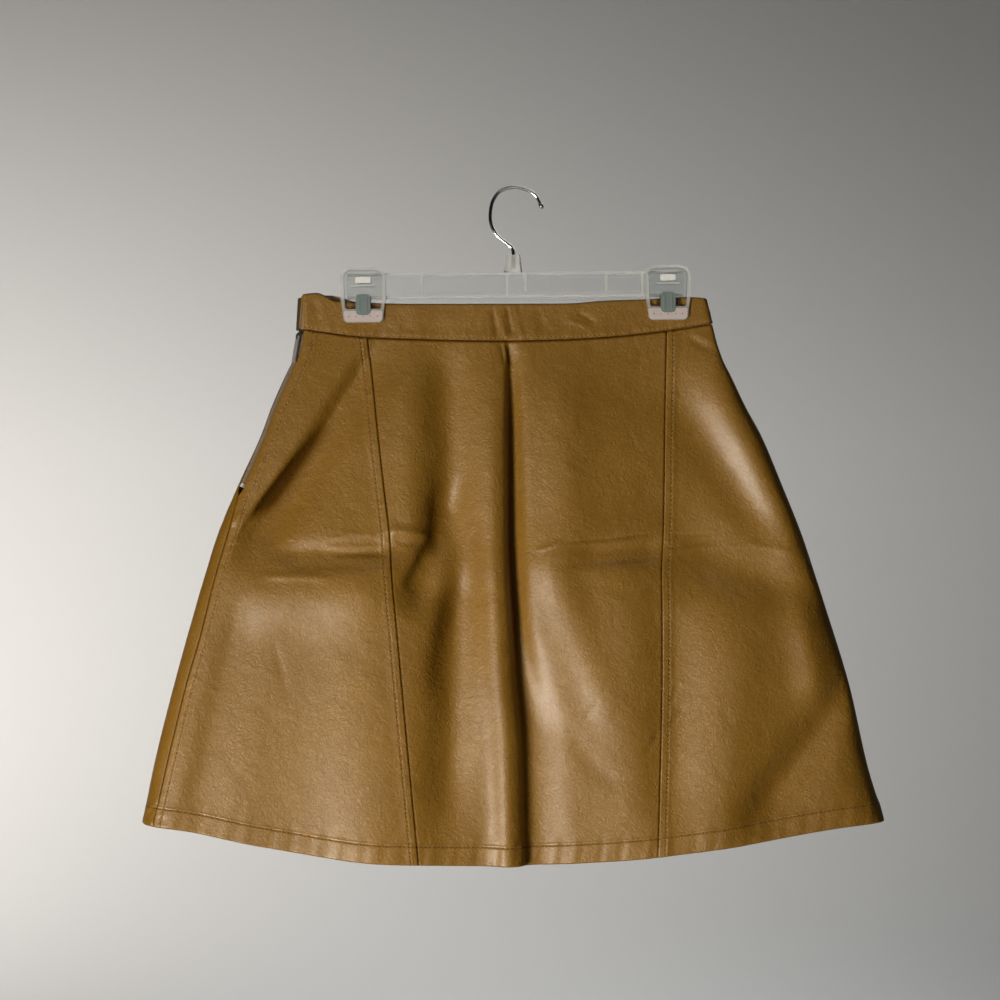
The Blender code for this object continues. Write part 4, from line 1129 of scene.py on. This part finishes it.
FLANGE_HEIGHT = 0.0022
BAR_HALF_LENGTH = 0.1470
BAR_TILT = math.radians(0.5)
RIB_PLACES = (-0.0815, -0.0070, 0.0090, 0.0795, 0.1110)
RIB_WIDTH = 0.0020
BEAD_LINE_INSET = 0.0024
BEAD_LINE_HEIGHT = 0.0009
BEAD_LINE_REACH = 0.0020
FOOT_LENGTH = 0.2200
FOOT_HEIGHT = 0.0034
FOOT_DEPTH = 0.0014
NECK_TOP_RADIUS = 0.0062
NECK_FOOT_RADIUS = 0.0082
NECK_HEIGHT = 0.0165
NECK_SIDES = 40
BORE_LENGTH = 0.0400
CLIP_PLACES = {"left": -0.1320, "right": 0.1345}
CLIP_RISE_OVER_BAR = 0.0050
JAW_WIDTH = 0.0395
JAW_HEIGHT = 0.0480
JAW_THICK = 0.0022
STRAP_THICK = 0.0008
STRAP_CORNER = 0.0016
GAP = 0.0003


class ZipLine:
    """The line midway between the two panels' edges beside the zip."""

    def __init__(self):
        rows = []
        for ring in PANEL_RINGS:
            if ring.level > ZIP_END_LEVEL:
                break
            ends = (ring.face_arc(side_seam_at) + zip_opening(ring),
                    ring.face_arc(side_seam_at) - zip_opening(ring))
            turns = ring.turn_at(np.where(np.array(ends) < 0.0, ring.whole() + ends, ends))
            drops = skirt_drop(turns, ring.level)
            front, back = cloth_surface(turns, drops)
            out = cloth_normal(turns, drops).sum(axis=0)
            rows.append(np.concatenate(((front + back) / 2.0, front - back, out)))
        self.rows = np.array(rows)

    def at(self, drop):
        """The line's point, its direction across the zip, down it and out of the cloth."""
        def read(where):
            return np.array([np.interp(where, -self.rows[:, 2], column) for column in self.rows.T])
        numbers = read(drop)
        down = read(drop + 0.002)[:3] - read(drop - 0.002)[:3]
        down /= np.linalg.norm(down)
        out = numbers[6:] - down * (numbers[6:] @ down)
        out /= np.linalg.norm(out)
        return numbers[:3], np.cross(down, out), down, out


def box_at(verts, faces, centre, axes, half, taper):
    """Adds a box with its far side in the third axis narrowed by a taper."""
    base = len(verts)
    for c in (-1.0, 1.0):
        narrow = taper if c > 0.0 else 1.0
        for a, b in ((-1, -1), (1, -1), (1, 1), (-1, 1)):
            verts.append(centre + axes[0] * a * half[0] * narrow + axes[1] * b * half[1] * narrow
                         + axes[2] * c * half[2])
    faces += [[base + k for k in (3, 2, 1, 0)], [base + k for k in (4, 5, 6, 7)]]
    for k in range(4):
        n = (k + 1) % 4
        faces.append([base + k, base + n, base + 4 + n, base + 4 + k])


def make_zip():
    line = ZipLine()
    low = STOP_DROP - STOP_LENGTH / 2.0 - GAP
    outer, inner = [], []
    for drop in np.linspace(CHAIN_TOP_DROP, low, 60):
        point, across, _, out = line.at(drop)
        face = point + out * TAPE_TOP
        edges = np.array([face - across * TAPE_HALF_WIDTH, face, face + across * TAPE_HALF_WIDTH])
        outer.append(edges)
        inner.append(edges - out * TAPE_THICK)
    m = Nodes("zip_tape")
    weave = m.noise(3000.0, 2.0, 0.6)
    tape = m.finish(base_color=(0.20, 0.140, 0.085), roughness=0.9, normal=m.bump(weave, 0.0002, 0.7))
    painted_light = np.zeros((len(outer), len(outer[0])))
    tape_piece = shell("zip_tape", outer, inner, painted_light, (tape, tape), (0, 0, 0, 0))
    verts, faces = [], []
    for k, drop in enumerate(np.arange(CHAIN_TOP_DROP + TOOTH_PITCH, low, TOOTH_PITCH)):
        point, across, down, out = line.at(drop)
        side = 1.0 if k % 2 else -1.0
        sideways = across * side * (TOOTH_REACH - TOOTH_OVERLAP) / 2.0
        centre = point + sideways + out * (TOOTH_TOP - TOOTH_HALF_HEIGHT)
        half = ((TOOTH_REACH + TOOTH_OVERLAP) / 2.0, TOOTH_LENGTH / 2.0, TOOTH_HALF_HEIGHT)
        box_at(verts, faces, centre, (across, down, out), half, TOOTH_TAPER)
    m = Nodes("antique_brass")
    tint = m.mix(m.map(m.noise(500.0, 3.0), 0.3, 0.7, 0.0, 1.0), (0.36, 0.285, 0.20), (0.54, 0.46, 0.37))
    teeth_metal = m.finish(base_color=tint, metallic=0.25, roughness=0.42)
    teeth = mesh_of("zip_teeth", verts, faces, [teeth_metal], smooth=False)
    for piece in (tape_piece, teeth):
        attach(piece, "skirt")
    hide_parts("zip_chain")


def smooth_route(points, step):
    """Points a step apart on a smooth curve through a route's own points."""
    route = np.array(points)
    before = np.vstack((2.0 * route[0] - route[1], route, 2.0 * route[-1] - route[-2]))
    dense = []
    for i in range(len(route) - 1):
        p0, p1, p2, p3 = before[i:i + 4]
        for t in np.linspace(0.0, 1.0, ROUTE_SAMPLES, endpoint=False):
            dense.append(0.5 * (2.0 * p1 + (p2 - p0) * t + (2.0 * p0 - 5.0 * p1 + 4.0 * p2 - p3) * t**2
                                + (3.0 * p1 - p0 - 3.0 * p2 + p3) * t**3))
    dense = np.array(dense + [route[-1]])
    arc = np.concatenate(([0.0], np.cumsum(np.linalg.norm(np.diff(dense, axis=0), axis=1))))
    marks = np.linspace(0.0, arc[-1], int(round(arc[-1] / step)) + 1)
    return np.stack([np.interp(marks, arc, dense[:, k]) for k in range(dense.shape[1])], axis=-1)


def make_hook(metal):
    """A bent wire that ends in a bead."""
    route = [(x, z, WIRE_RADIUS) for x, z in smooth_route(HOOK_ROUTE, WIRE_STEP)]
    end, before = np.array(route[-1][:2]), np.array(route[-2][:2])
    onward = (end - before) / np.linalg.norm(end - before)
    start_angle = math.asin(WIRE_RADIUS / BEAD_RADIUS)
    for angle in np.linspace(start_angle, BEAD_END_ANGLE, BEAD_STEPS + 1)[1:]:
        centre = end + onward * BEAD_RADIUS * (1.0 - math.cos(angle))
        route.append((*centre, BEAD_RADIUS * math.sin(angle)))
    route = np.array(route)
    heading = np.gradient(route[:, :2], axis=0)
    heading /= np.linalg.norm(heading, axis=1, keepdims=True)
    rings = []
    for (x, z, radius), (hx, hz) in zip(route, heading):
        rings.append([(x - hz * (radius * c), radius * s, z + hx * (radius * c))
                      for c, s in circle(WIRE_SIDES)])
    verts, faces = [], []
    add_tube(verts, faces, rings)
    faces = [(face[0], *face[:0:-1]) for face in faces]   # this tube's rings run the other way round
    hook = mesh_of("hook_wire", verts, faces, [metal])
    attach(hook, "skirt")
    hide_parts("hanger_hook")


def bar_frame():
    """Frame of the bar: x along it, y up, z towards the face, its centre at the bar's centre."""
    tilt = Matrix.Rotation(-BAR_TILT, 4, "Y")
    upright = Matrix(((1, 0, 0, 0), (0, 0, -1, 0), (0, 1, 0, 0), (0, 0, 0, 1)))
    centre_z = -(BAR_TOP_DROP + BAR_HEIGHT / 2.0)
    return Matrix.Translation((BAR_CENTRE_X, 0.0, centre_z)) @ tilt @ upright


def rounded_outline(corners, steps=7):
    """A polygon with each corner rounded by its own radius: rows of x, y, radius."""
    outline = []
    count = len(corners)
    for i in range(count):
        before, here, after = (Vector(corners[(i + k) % count][:2]) for k in (-1, 0, 1))
        radius = corners[i][2]
        back, onward = (before - here).normalized(), (after - here).normalized()
        if radius <= 0.0:
            outline.append((here.x, here.y))
            continue
        half = back.angle(onward) / 2.0
        centre = here + (back + onward).normalized() * (radius / math.sin(half))
        first = here + back * (radius / math.tan(half)) - centre
        last = here + onward * (radius / math.tan(half)) - centre
        turn = first.angle_signed(last)
        for t in np.linspace(0.0, 1.0, steps):
            point = centre + Matrix.Rotation(-turn * t, 2) @ first
            outline.append((point.x, point.y))
    return outline


def solid_of(shape):
    mesh = bpy.data.meshes.new("solid")
    shape.to_mesh(mesh)
    shape.free()
    item = bpy.data.objects.new("solid", mesh)
    bpy.context.scene.collection.objects.link(item)
    return item


def cone(foot_radius, top_radius, depth, placing):
    shape = bmesh.new()
    bmesh.ops.create_cone(shape, cap_ends=True, segments=NECK_SIDES, radius1=foot_radius,
                          radius2=top_radius, depth=depth)
    shape.transform(placing)
    return solid_of(shape)


def prism(outline, low, high, frame):
    """A closed body: an outline in the frame's first two axes, drawn along its third."""
    shape = bmesh.new()
    floor = [shape.verts.new(frame @ Vector((a, b, low))) for a, b in outline]
    face = shape.faces.new(floor)
    raised = bmesh.ops.extrude_face_region(shape, geom=[face])["geom"]
    moved = [item for item in raised if isinstance(item, bmesh.types.BMVert)]
    shift = frame.to_3x3() @ Vector((0.0, 0.0, high - low))
    bmesh.ops.translate(shape, verts=moved, vec=shift)
    bmesh.ops.recalc_face_normals(shape, faces=shape.faces)
    return solid_of(shape)


def combine(item, tool, operation):
    """Joins or cuts with a hidden tool, applied at once."""
    modifier = item.modifiers.new(operation.lower(), "BOOLEAN")
    modifier.operation = operation
    modifier.object = tool
    bpy.context.view_layer.update()
    evaluated = item.evaluated_get(bpy.context.evaluated_depsgraph_get())
    result = bpy.data.meshes.new_from_object(evaluated)
    item.modifiers.clear()
    item.data = result
    bpy.data.objects.remove(tool, do_unlink=True)


def add_plate(item, outline, ends, frame, operation="UNION"):
    """Joins a plate to a body, or cuts it out."""
    combine(item, prism(outline, *sorted(ends), frame), operation)


def soften(item, width, segments=2, weld=False, angle=28.0):
    if weld:
        item.modifiers.new("weld", "WELD").merge_threshold = 1e-6
    bevel = item.modifiers.new("bevel", "BEVEL")
    bevel.width = width
    bevel.segments = segments
    bevel.limit_method = "ANGLE"
    bevel.angle_limit = math.radians(angle)
    bevel.harden_normals = True


def mirrored_outline(x, rows):
    """An outline even about x, from the foot up: rows of half width, height, corner radius."""
    right = [(x + half, y, radius) for half, y, radius in rows]
    left = [(x - half, y, radius) for half, y, radius in rows]
    return rounded_outline([left[0], *right, *left[:0:-1]])


def rectangle(x, y, width, height, radius):
    return mirrored_outline(x, [(width / 2.0, y + side * height / 2.0, radius) for side in (-1.0, 1.0)])


LIP_DOTS = 5
LIP_DOT_PITCH = 0.0062
LIP_DOT_SIZE = 0.0011
JAW_WAIST = 0.0125
JAW_LIP = 0.0118
JAW_RIB_DROPS = (0.0052, 0.0158)
WINDOW_DROP = 0.0108
SIDE_HOLE_OFFSET = 0.0128
STRAP_END = 0.0040
STRAP_HALF_WIDTH = 0.0058
STRAP_MIDDLE = 0.0049
RIDGE_OFFSETS = (-0.0033, 0.0033)
RIDGE_HEIGHT = 0.0003
JAW_INNER = BAR_DEPTH / 2.0 + GAP
JAW_OUTER = JAW_INNER + JAW_THICK


def finish_piece(item, name, materials, replaced=()):
    """Names a solid, gives it its looks and says what it belongs to."""
    item.name = name
    item.data.name = name
    item.data.materials.clear()
    for material in materials:
        item.data.materials.append(material)
    item.data.shade_smooth()
    item.data.set_sharp_from_angle(angle=math.radians(30.0))
    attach(item, "skirt")
    if replaced:
        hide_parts(*replaced)


def mark_edges(item, reach):
    """Gives the second material, a painted highlight that whitens the clear plastic's edges, to rims, walls
    and steps, and leaves the broad faces behind them clear.
    """
    for polygon in item.data.polygons:
        broad = abs(polygon.normal.y) > 0.9 and abs(polygon.center.y) < reach
        polygon.material_index = 0 if broad else 1


def make_bar(clear, edge_highlight):
    """The I-shaped bar with its rails, thin bead lines and ribs, and the neck that holds the hook."""
    frame = bar_frame()
    half_height, half_depth = BAR_HEIGHT / 2.0, BAR_DEPTH / 2.0
    inside = half_height - FLANGE_HEIGHT
    bar = prism(rectangle(0.0, 0.0, 2.0 * BAR_HALF_LENGTH, 2.0 * inside + FLANGE_HEIGHT, 0.0),
                -WEB_DEPTH / 2.0, WEB_DEPTH / 2.0, frame)
    for side in (-1.0, 1.0):
        rail = rectangle(0.0, side * (inside + FLANGE_HEIGHT / 2.0), 2.0 * BAR_HALF_LENGTH,
                         FLANGE_HEIGHT, 0.0006)
        add_plate(bar, rail, (-half_depth, half_depth), frame)
        bead = rectangle(0.0, side * (inside - BEAD_LINE_INSET), 2.0 * BAR_HALF_LENGTH - 0.0004,
                         BEAD_LINE_HEIGHT, 0.0003)
        add_plate(bar, bead, (-BEAD_LINE_REACH, BEAD_LINE_REACH), frame)
    foot = rectangle(0.0, -half_height - FOOT_HEIGHT / 2.0, FOOT_LENGTH, FOOT_HEIGHT + 0.0002, 0.0004)
    add_plate(bar, foot, (-FOOT_DEPTH / 2.0, FOOT_DEPTH / 2.0), frame)
    for place in RIB_PLACES:
        rib = rectangle(place, 0.0, RIB_WIDTH, 2.0 * inside + FLANGE_HEIGHT, 0.0004)
        add_plate(bar, rib, (-half_depth + GAP, half_depth - GAP), frame)
    neck_x, wire_low = HOOK_ROUTE[0]
    squash = Matrix.Diagonal((1.0, half_depth / NECK_FOOT_RADIUS, 1.0, 1.0))
    middle = Vector((neck_x, 0.0, -BAR_TOP_DROP + NECK_HEIGHT / 2.0 - FLANGE_HEIGHT / 2.0))
    neck = cone(NECK_FOOT_RADIUS, NECK_TOP_RADIUS, NECK_HEIGHT, Matrix.Translation(middle) @ squash)
    combine(bar, neck, "UNION")
    bore_radius = WIRE_RADIUS + GAP
    bore_middle = Vector((neck_x, 0.0, wire_low - GAP + BORE_LENGTH / 2.0))
    combine(bar, cone(bore_radius, bore_radius, BORE_LENGTH, Matrix.Translation(bore_middle)), "DIFFERENCE")
    finish_piece(bar, "bar_moulding", (clear, edge_highlight), ("hanger_bar",))
    mark_edges(bar, WEB_DEPTH)
    soften(bar, 0.00030)


def make_jaw(side, face, clear, edge_highlight, frosted, window_glint):
    """A clip's jaw: a plate with a dished face, a frosted lip, the spring's slot and a pale tab in its
    window, a painted glint.
    """
    frame = bar_frame()
    place = CLIP_PLACES[side] - BAR_CENTRE_X
    top = BAR_HEIGHT / 2.0 + CLIP_RISE_OVER_BAR
    low = top - JAW_HEIGHT
    half = JAW_WIDTH / 2.0
    waist = low + JAW_WAIST
    lip = low + JAW_LIP
    window = top - WINDOW_DROP
    strap_top = -BAR_HEIGHT / 2.0 - GAP
    sign = 1.0 if face == "front" else -1.0
    near, far = sorted((sign * JAW_INNER, sign * JAW_OUTER))
    through = (near - 0.002, far + 0.002)

    def depths(*from_face):
        """Places along the bar's third axis, from distances out of the jaw's face."""
        return [sign * JAW_OUTER + sign * distance for distance in from_face]

    jaw = prism(mirrored_outline(place, (
        (half - 0.0026, low, 0.0042), (half - 0.0016, waist, 0.0040),
        (half, waist + 0.0080, 0.0060), (half, top, 0.0085))), near, far, frame)
    dish = mirrored_outline(place, ((half - 0.0040, lip, 0.0020), (half - 0.0020, top - 0.0020, 0.0066)))
    add_plate(jaw, dish, depths(-0.0009, 0.001), frame, "DIFFERENCE")
    slot_height = STRAP_THICK + STRAP_CORNER
    add_plate(jaw, rectangle(place, window, 0.0142, 0.0060, 0.0014), through, frame, "DIFFERENCE")
    slot = rectangle(place, strap_top - (slot_height - GAP) / 2.0, 0.0126, slot_height + GAP, 0.0006)
    add_plate(jaw, slot, through, frame, "DIFFERENCE")
    for offset in (-SIDE_HOLE_OFFSET, SIDE_HOLE_OFFSET):
        hole = rectangle(place + offset, strap_top - 0.0042, 0.0052, 0.0062, 0.0016)
        add_plate(jaw, hole, through, frame, "DIFFERENCE")
    for drop in JAW_RIB_DROPS:
        rib = rectangle(place, top - drop, 0.0200, 0.0012, 0.0005)
        add_plate(jaw, rib, depths(-0.0012, 0.0002), frame)
    name = f"clip_{side}_{face}"
    finish_piece(jaw, name, (clear, edge_highlight), (f"{name}_jaw",))
    mark_edges(jaw, JAW_OUTER - 0.0004)
    soften(jaw, 0.00032)
    pad = prism(mirrored_outline(place, (
        (half - 0.0034, low + 0.0008, 0.0034), (half - 0.0026, lip - 0.0014, 0.0016))),
        *sorted(depths(0.00002, 0.00042)), frame)
    for k in range(LIP_DOTS):
        along = (k - (LIP_DOTS - 1) / 2.0) * LIP_DOT_PITCH
        dot = rectangle(place + along, low + 0.0056, LIP_DOT_SIZE, LIP_DOT_SIZE, LIP_DOT_SIZE * 0.49)
        add_plate(pad, dot, through, frame, "DIFFERENCE")
    finish_piece(pad, f"{name}_lip", (frosted,))
    soften(pad, 0.00014, 1)
    # the pale tab in the jaw's window is a painted glint
    tab = prism(rectangle(place, window, 0.0136, 0.0054, 0.0012), *sorted(depths(-0.0004, -0.0012)), frame)
    finish_piece(tab, f"{name}_tab", (window_glint,))
    soften(tab, 0.00020)


def make_spring(side, steel):
    """The strap that closes a clip: over the bar's foot, down both jaws, with two raised lines."""
    frame = bar_frame()
    place = CLIP_PLACES[side] - BAR_CENTRE_X
    strap_top = -BAR_HEIGHT / 2.0 - GAP
    inside = JAW_OUTER + GAP
    out = inside + STRAP_THICK
    end_frame = frame @ Matrix(((0, 0, 1, 0), (0, 1, 0, 0), (1, 0, 0, 0), (0, 0, 0, 1)))
    corner = STRAP_CORNER
    end = strap_top - STRAP_END
    edge = out - 0.0001
    under = strap_top - STRAP_THICK
    turn = strap_top - corner
    left = [(-inside + corner / 2.0, under), (-inside, turn - STRAP_THICK / 2.0), (-inside, end),
            (-edge, end), (-edge, turn), (-out + corner, strap_top)]
    bridge = left[3:] + [(-x, z) for x, z in reversed(left)] + left[:3]
    spring = prism(bridge, place - STRAP_HALF_WIDTH, place + STRAP_HALF_WIDTH, end_frame)
    for sign in (1.0, -1.0):
        plate = rectangle(place, strap_top - STRAP_MIDDLE, 0.0130, 0.0184, 0.0036)
        add_plate(spring, plate, (sign * inside, sign * out), frame)
        for offset in RIDGE_OFFSETS:
            ridge = rectangle(place + offset, strap_top - STRAP_MIDDLE, 0.0014, 0.0130, 0.0006)
            add_plate(spring, ridge, (sign * (out - RIDGE_HEIGHT), sign * (out + RIDGE_HEIGHT)), frame)
    finish_piece(spring, f"clip_{side}_steel", (steel,), (f"clip_{side}_spring",))
    soften(spring, 0.00022)


def metal_material(name, colour, roughness, spots=0.0, metallic=1.0):
    m = Nodes(name)
    tarnish = m.noise(350.0, 4.0, 0.65)
    rough = m.map(tarnish, 0.3, 0.7, roughness - spots, roughness + spots)
    return m.finish(base_color=colour, metallic=metallic, roughness=rough)


def plastic_material(name, colour, roughness, scale, clearness=1.0):
    m = Nodes(name)
    haze = m.noise(scale, 3.0, 0.6)
    rough = m.map(haze, 0.3, 0.7, roughness * 0.7, roughness * 1.3)
    return m.finish(base_color=colour, roughness=rough, transmission_weight=clearness, ior=1.49)


def make_hardware():
    chrome = metal_material("chrome_wire", (0.78, 0.79, 0.80), 0.13, 0.03)
    nickel = metal_material("dull_nickel", (0.46, 0.45, 0.42), 0.38, 0.08, 0.45)
    gunmetal = metal_material("dark_slider", (0.13, 0.125, 0.105), 0.34, 0.10, 0.55)
    bright = metal_material("bright_stop", (0.95, 0.92, 0.82), 0.25, 0.05, 0.40)
    steel = metal_material("plated_spring", (0.25, 0.31, 0.30), 0.34, 0.06, 0.35)
    clear = plastic_material("clear_plastic", (0.96, 0.975, 0.97), 0.025, 90.0)
    # whiter edges of the clear plastic: painted highlight
    edge_highlight = plastic_material("painted_edge_highlights", (0.90, 0.92, 0.90), 0.22, 20.0, 0.62)
    frosted = plastic_material("frosted_plastic", (0.84, 0.73, 0.71), 0.46, 900.0, 0.40)
    window_glint = plastic_material("painted_window_glint", (0.95, 0.96, 0.95), 0.25, 300.0, 0.10)
    make_hook(chrome)
    make_bar(clear, edge_highlight)
    for side in CLIP_PLACES:
        for face in ("front", "back"):
            make_jaw(side, face, clear, edge_highlight, frosted, window_glint)
        make_spring(side, steel)
    looks = (("zip_slider", gunmetal, 0.00022), ("zip_pull", nickel, 0.00022), ("zip_stop", bright, 0.00030))
    for node, material, width in looks:
        item = frame["nodes"][node]
        for slot in item.material_slots:
            slot.material = material
        soften(item, width, weld=True)


BAND_END_CORNERS = (   # x, z and corner radius
    (-0.1845, -0.1244, 0.0), (-0.1912, -0.1238, 0.0008), (-0.1896, -0.0955, 0.0016), (-0.1830, -0.0942, 0.0),
)


def make_band_end(materials):
    """The band's back end, which laps out past its front end at the top of the zip, in a darkened leather
    that is painted shade.
    """
    outline = rounded_outline(BAND_END_CORNERS)
    frame = Matrix.Rotation(math.radians(90.0), 4, "X")
    end = prism(outline, -0.0046, -0.0024, frame)
    finish_piece(end, "band_back_end", materials)
    soften(end, 0.0006, 3)


# ---------------------------------------------------------------- build
leather = leather_material()
suede = suede_material()
groove = edge_material()
# The widths of front_right and back are an earlier form's.
CUTS = {
    "front_left": ((0.236, 0.462), 0.0708),
    "front_centre": ((0.262, 0.462), 0.1159),
    "front_right": ((0.224, 0.450), 0.0704),
    "back": ((0.666, 0.462), 0.2406),
}
for side, (flat, area) in CUTS.items():
    panel = make_panel(side, (leather, suede, groove))
    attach(panel, "skirt")
    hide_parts(f"{side}_panel")
band = make_band((leather, suede, groove))
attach(band, "skirt")
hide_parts("waistband")
make_stitches()
make_zip()
make_hardware()
make_band_end((band_end_painted_shade(),))

# ---------------------------------------------------------------- stage, light and camera
PIXEL = 0.876 / 1000.0
VIEW_CENTRE = Vector((-14 * PIXEL, 0.0, -311 * PIXEL))
CAMERA_DISTANCE = 2.4
SENSOR = 36.0
camera_data = bpy.data.cameras.new("camera")
camera_data.sensor_width = SENSOR
camera_data.lens = SENSOR * CAMERA_DISTANCE / (1000 * PIXEL)
camera = bpy.data.objects.new("camera", camera_data)
camera.location = VIEW_CENTRE + Vector((0.0, -CAMERA_DISTANCE, 0.0))
camera.rotation_euler = (math.radians(90.0), 0.0, 0.0)
bpy.context.scene.collection.objects.link(camera)
bpy.context.scene.camera = camera


def area_light(name, place, target, size, power, colour, spread):
    data = bpy.data.lights.new(name, "AREA")
    data.shape = "RECTANGLE"
    data.size, data.size_y = size
    data.energy = power
    data.color = colour
    data.spread = math.radians(spread)
    lamp = bpy.data.objects.new(name, data)
    lamp.location = place
    lamp.visible_camera = False
    lamp.rotation_euler = (Vector(target) - Vector(place)).to_track_quat("-Z", "Y").to_euler()
    bpy.context.scene.collection.objects.link(lamp)


SKIRT_MIDDLE = (0.0, 0.0, -0.40)
OPEN = 180.0
LAMPS = (   # name, place, target, size, watts, colour, spread in degrees
    ("key", (-1.28, -1.60, -1.14), (0.10, 0.0, -0.50), (0.58, 0.58), 8.9, (1.0, 0.935, 0.83), 70.0),
    ("window", (-0.10, -1.90, -0.56), SKIRT_MIDDLE, (1.2, 0.25), 1.9, (1.0, 0.92, 0.78), OPEN),
    ("upper", (-0.9, -1.6, 1.3), SKIRT_MIDDLE, (1.0, 1.0), 0.6, (1.0, 0.97, 0.92), OPEN),
    ("behind", (0.5, 2.2, 1.0), SKIRT_MIDDLE, (1.2, 1.2), 18.0, (0.96, 0.98, 1.0), OPEN),
    ("wall_wash", (-2.6, 0.6, -0.5), (-1.5, 4.2, -1.0), (1.0, 1.0), 38.5, (1.0, 0.95, 0.90), 80.0),
    ("near_floor", (0.0, -2.6, 2.2), (0.0, -2.6, -1.4), (1.6, 1.6), 6.0, (1.0, 0.99, 0.97), 70.0),
    ("floor_wash", (0.3, 2.3, -0.75), (0.4, 3.4, -1.35), (1.8, 0.4), 10.5, (0.97, 0.99, 1.0), OPEN),
    ("glints", (0.0, -1.5, 1.2), (0.0, 0.0, -0.05), (1.4, 0.15), 2.0, (1.0, 1.0, 1.0), OPEN),
)
for lamp in LAMPS:
    area_light(*lamp)

world = bpy.data.worlds.new("studio")
world.use_nodes = True
background = world.node_tree.nodes["Background"]
background.inputs["Color"].default_value = (0.80, 0.82, 0.84, 1.0)
background.inputs["Strength"].default_value = 0.012
bpy.context.scene.world = world


def stage_material():
    m = Nodes("pale_stage")
    return m.finish(base_color=(0.62, 0.62, 0.61), roughness=0.9)


def make_stage():
    """A pale floor that curves up into a wall, well behind the skirt."""
    reach, wall_y, floor_z, bend, height = 9.0, 4.2, -1.35, 1.2, 4.5
    profile = [(-reach, floor_z), (wall_y - bend, floor_z)]
    profile += [(wall_y - bend + bend * math.sin(t), floor_z + bend * (1.0 - math.cos(t)))
                for t in np.linspace(0.0, math.pi / 2.0, 17)[1:]]
    profile.append((wall_y, floor_z + height))
    points = [(x, y, z) for x in (-reach, reach) for y, z in profile]
    count = len(profile)
    faces = [(i, i + count, i + 1 + count, i + 1) for i in range(count - 1)]
    mesh = bpy.data.meshes.new("stage")
    mesh.from_pydata(points, [], faces)
    stage = add_object("stage", mesh, [stage_material()])


make_stage()
bpy.context.scene.view_settings.view_transform = "Standard"
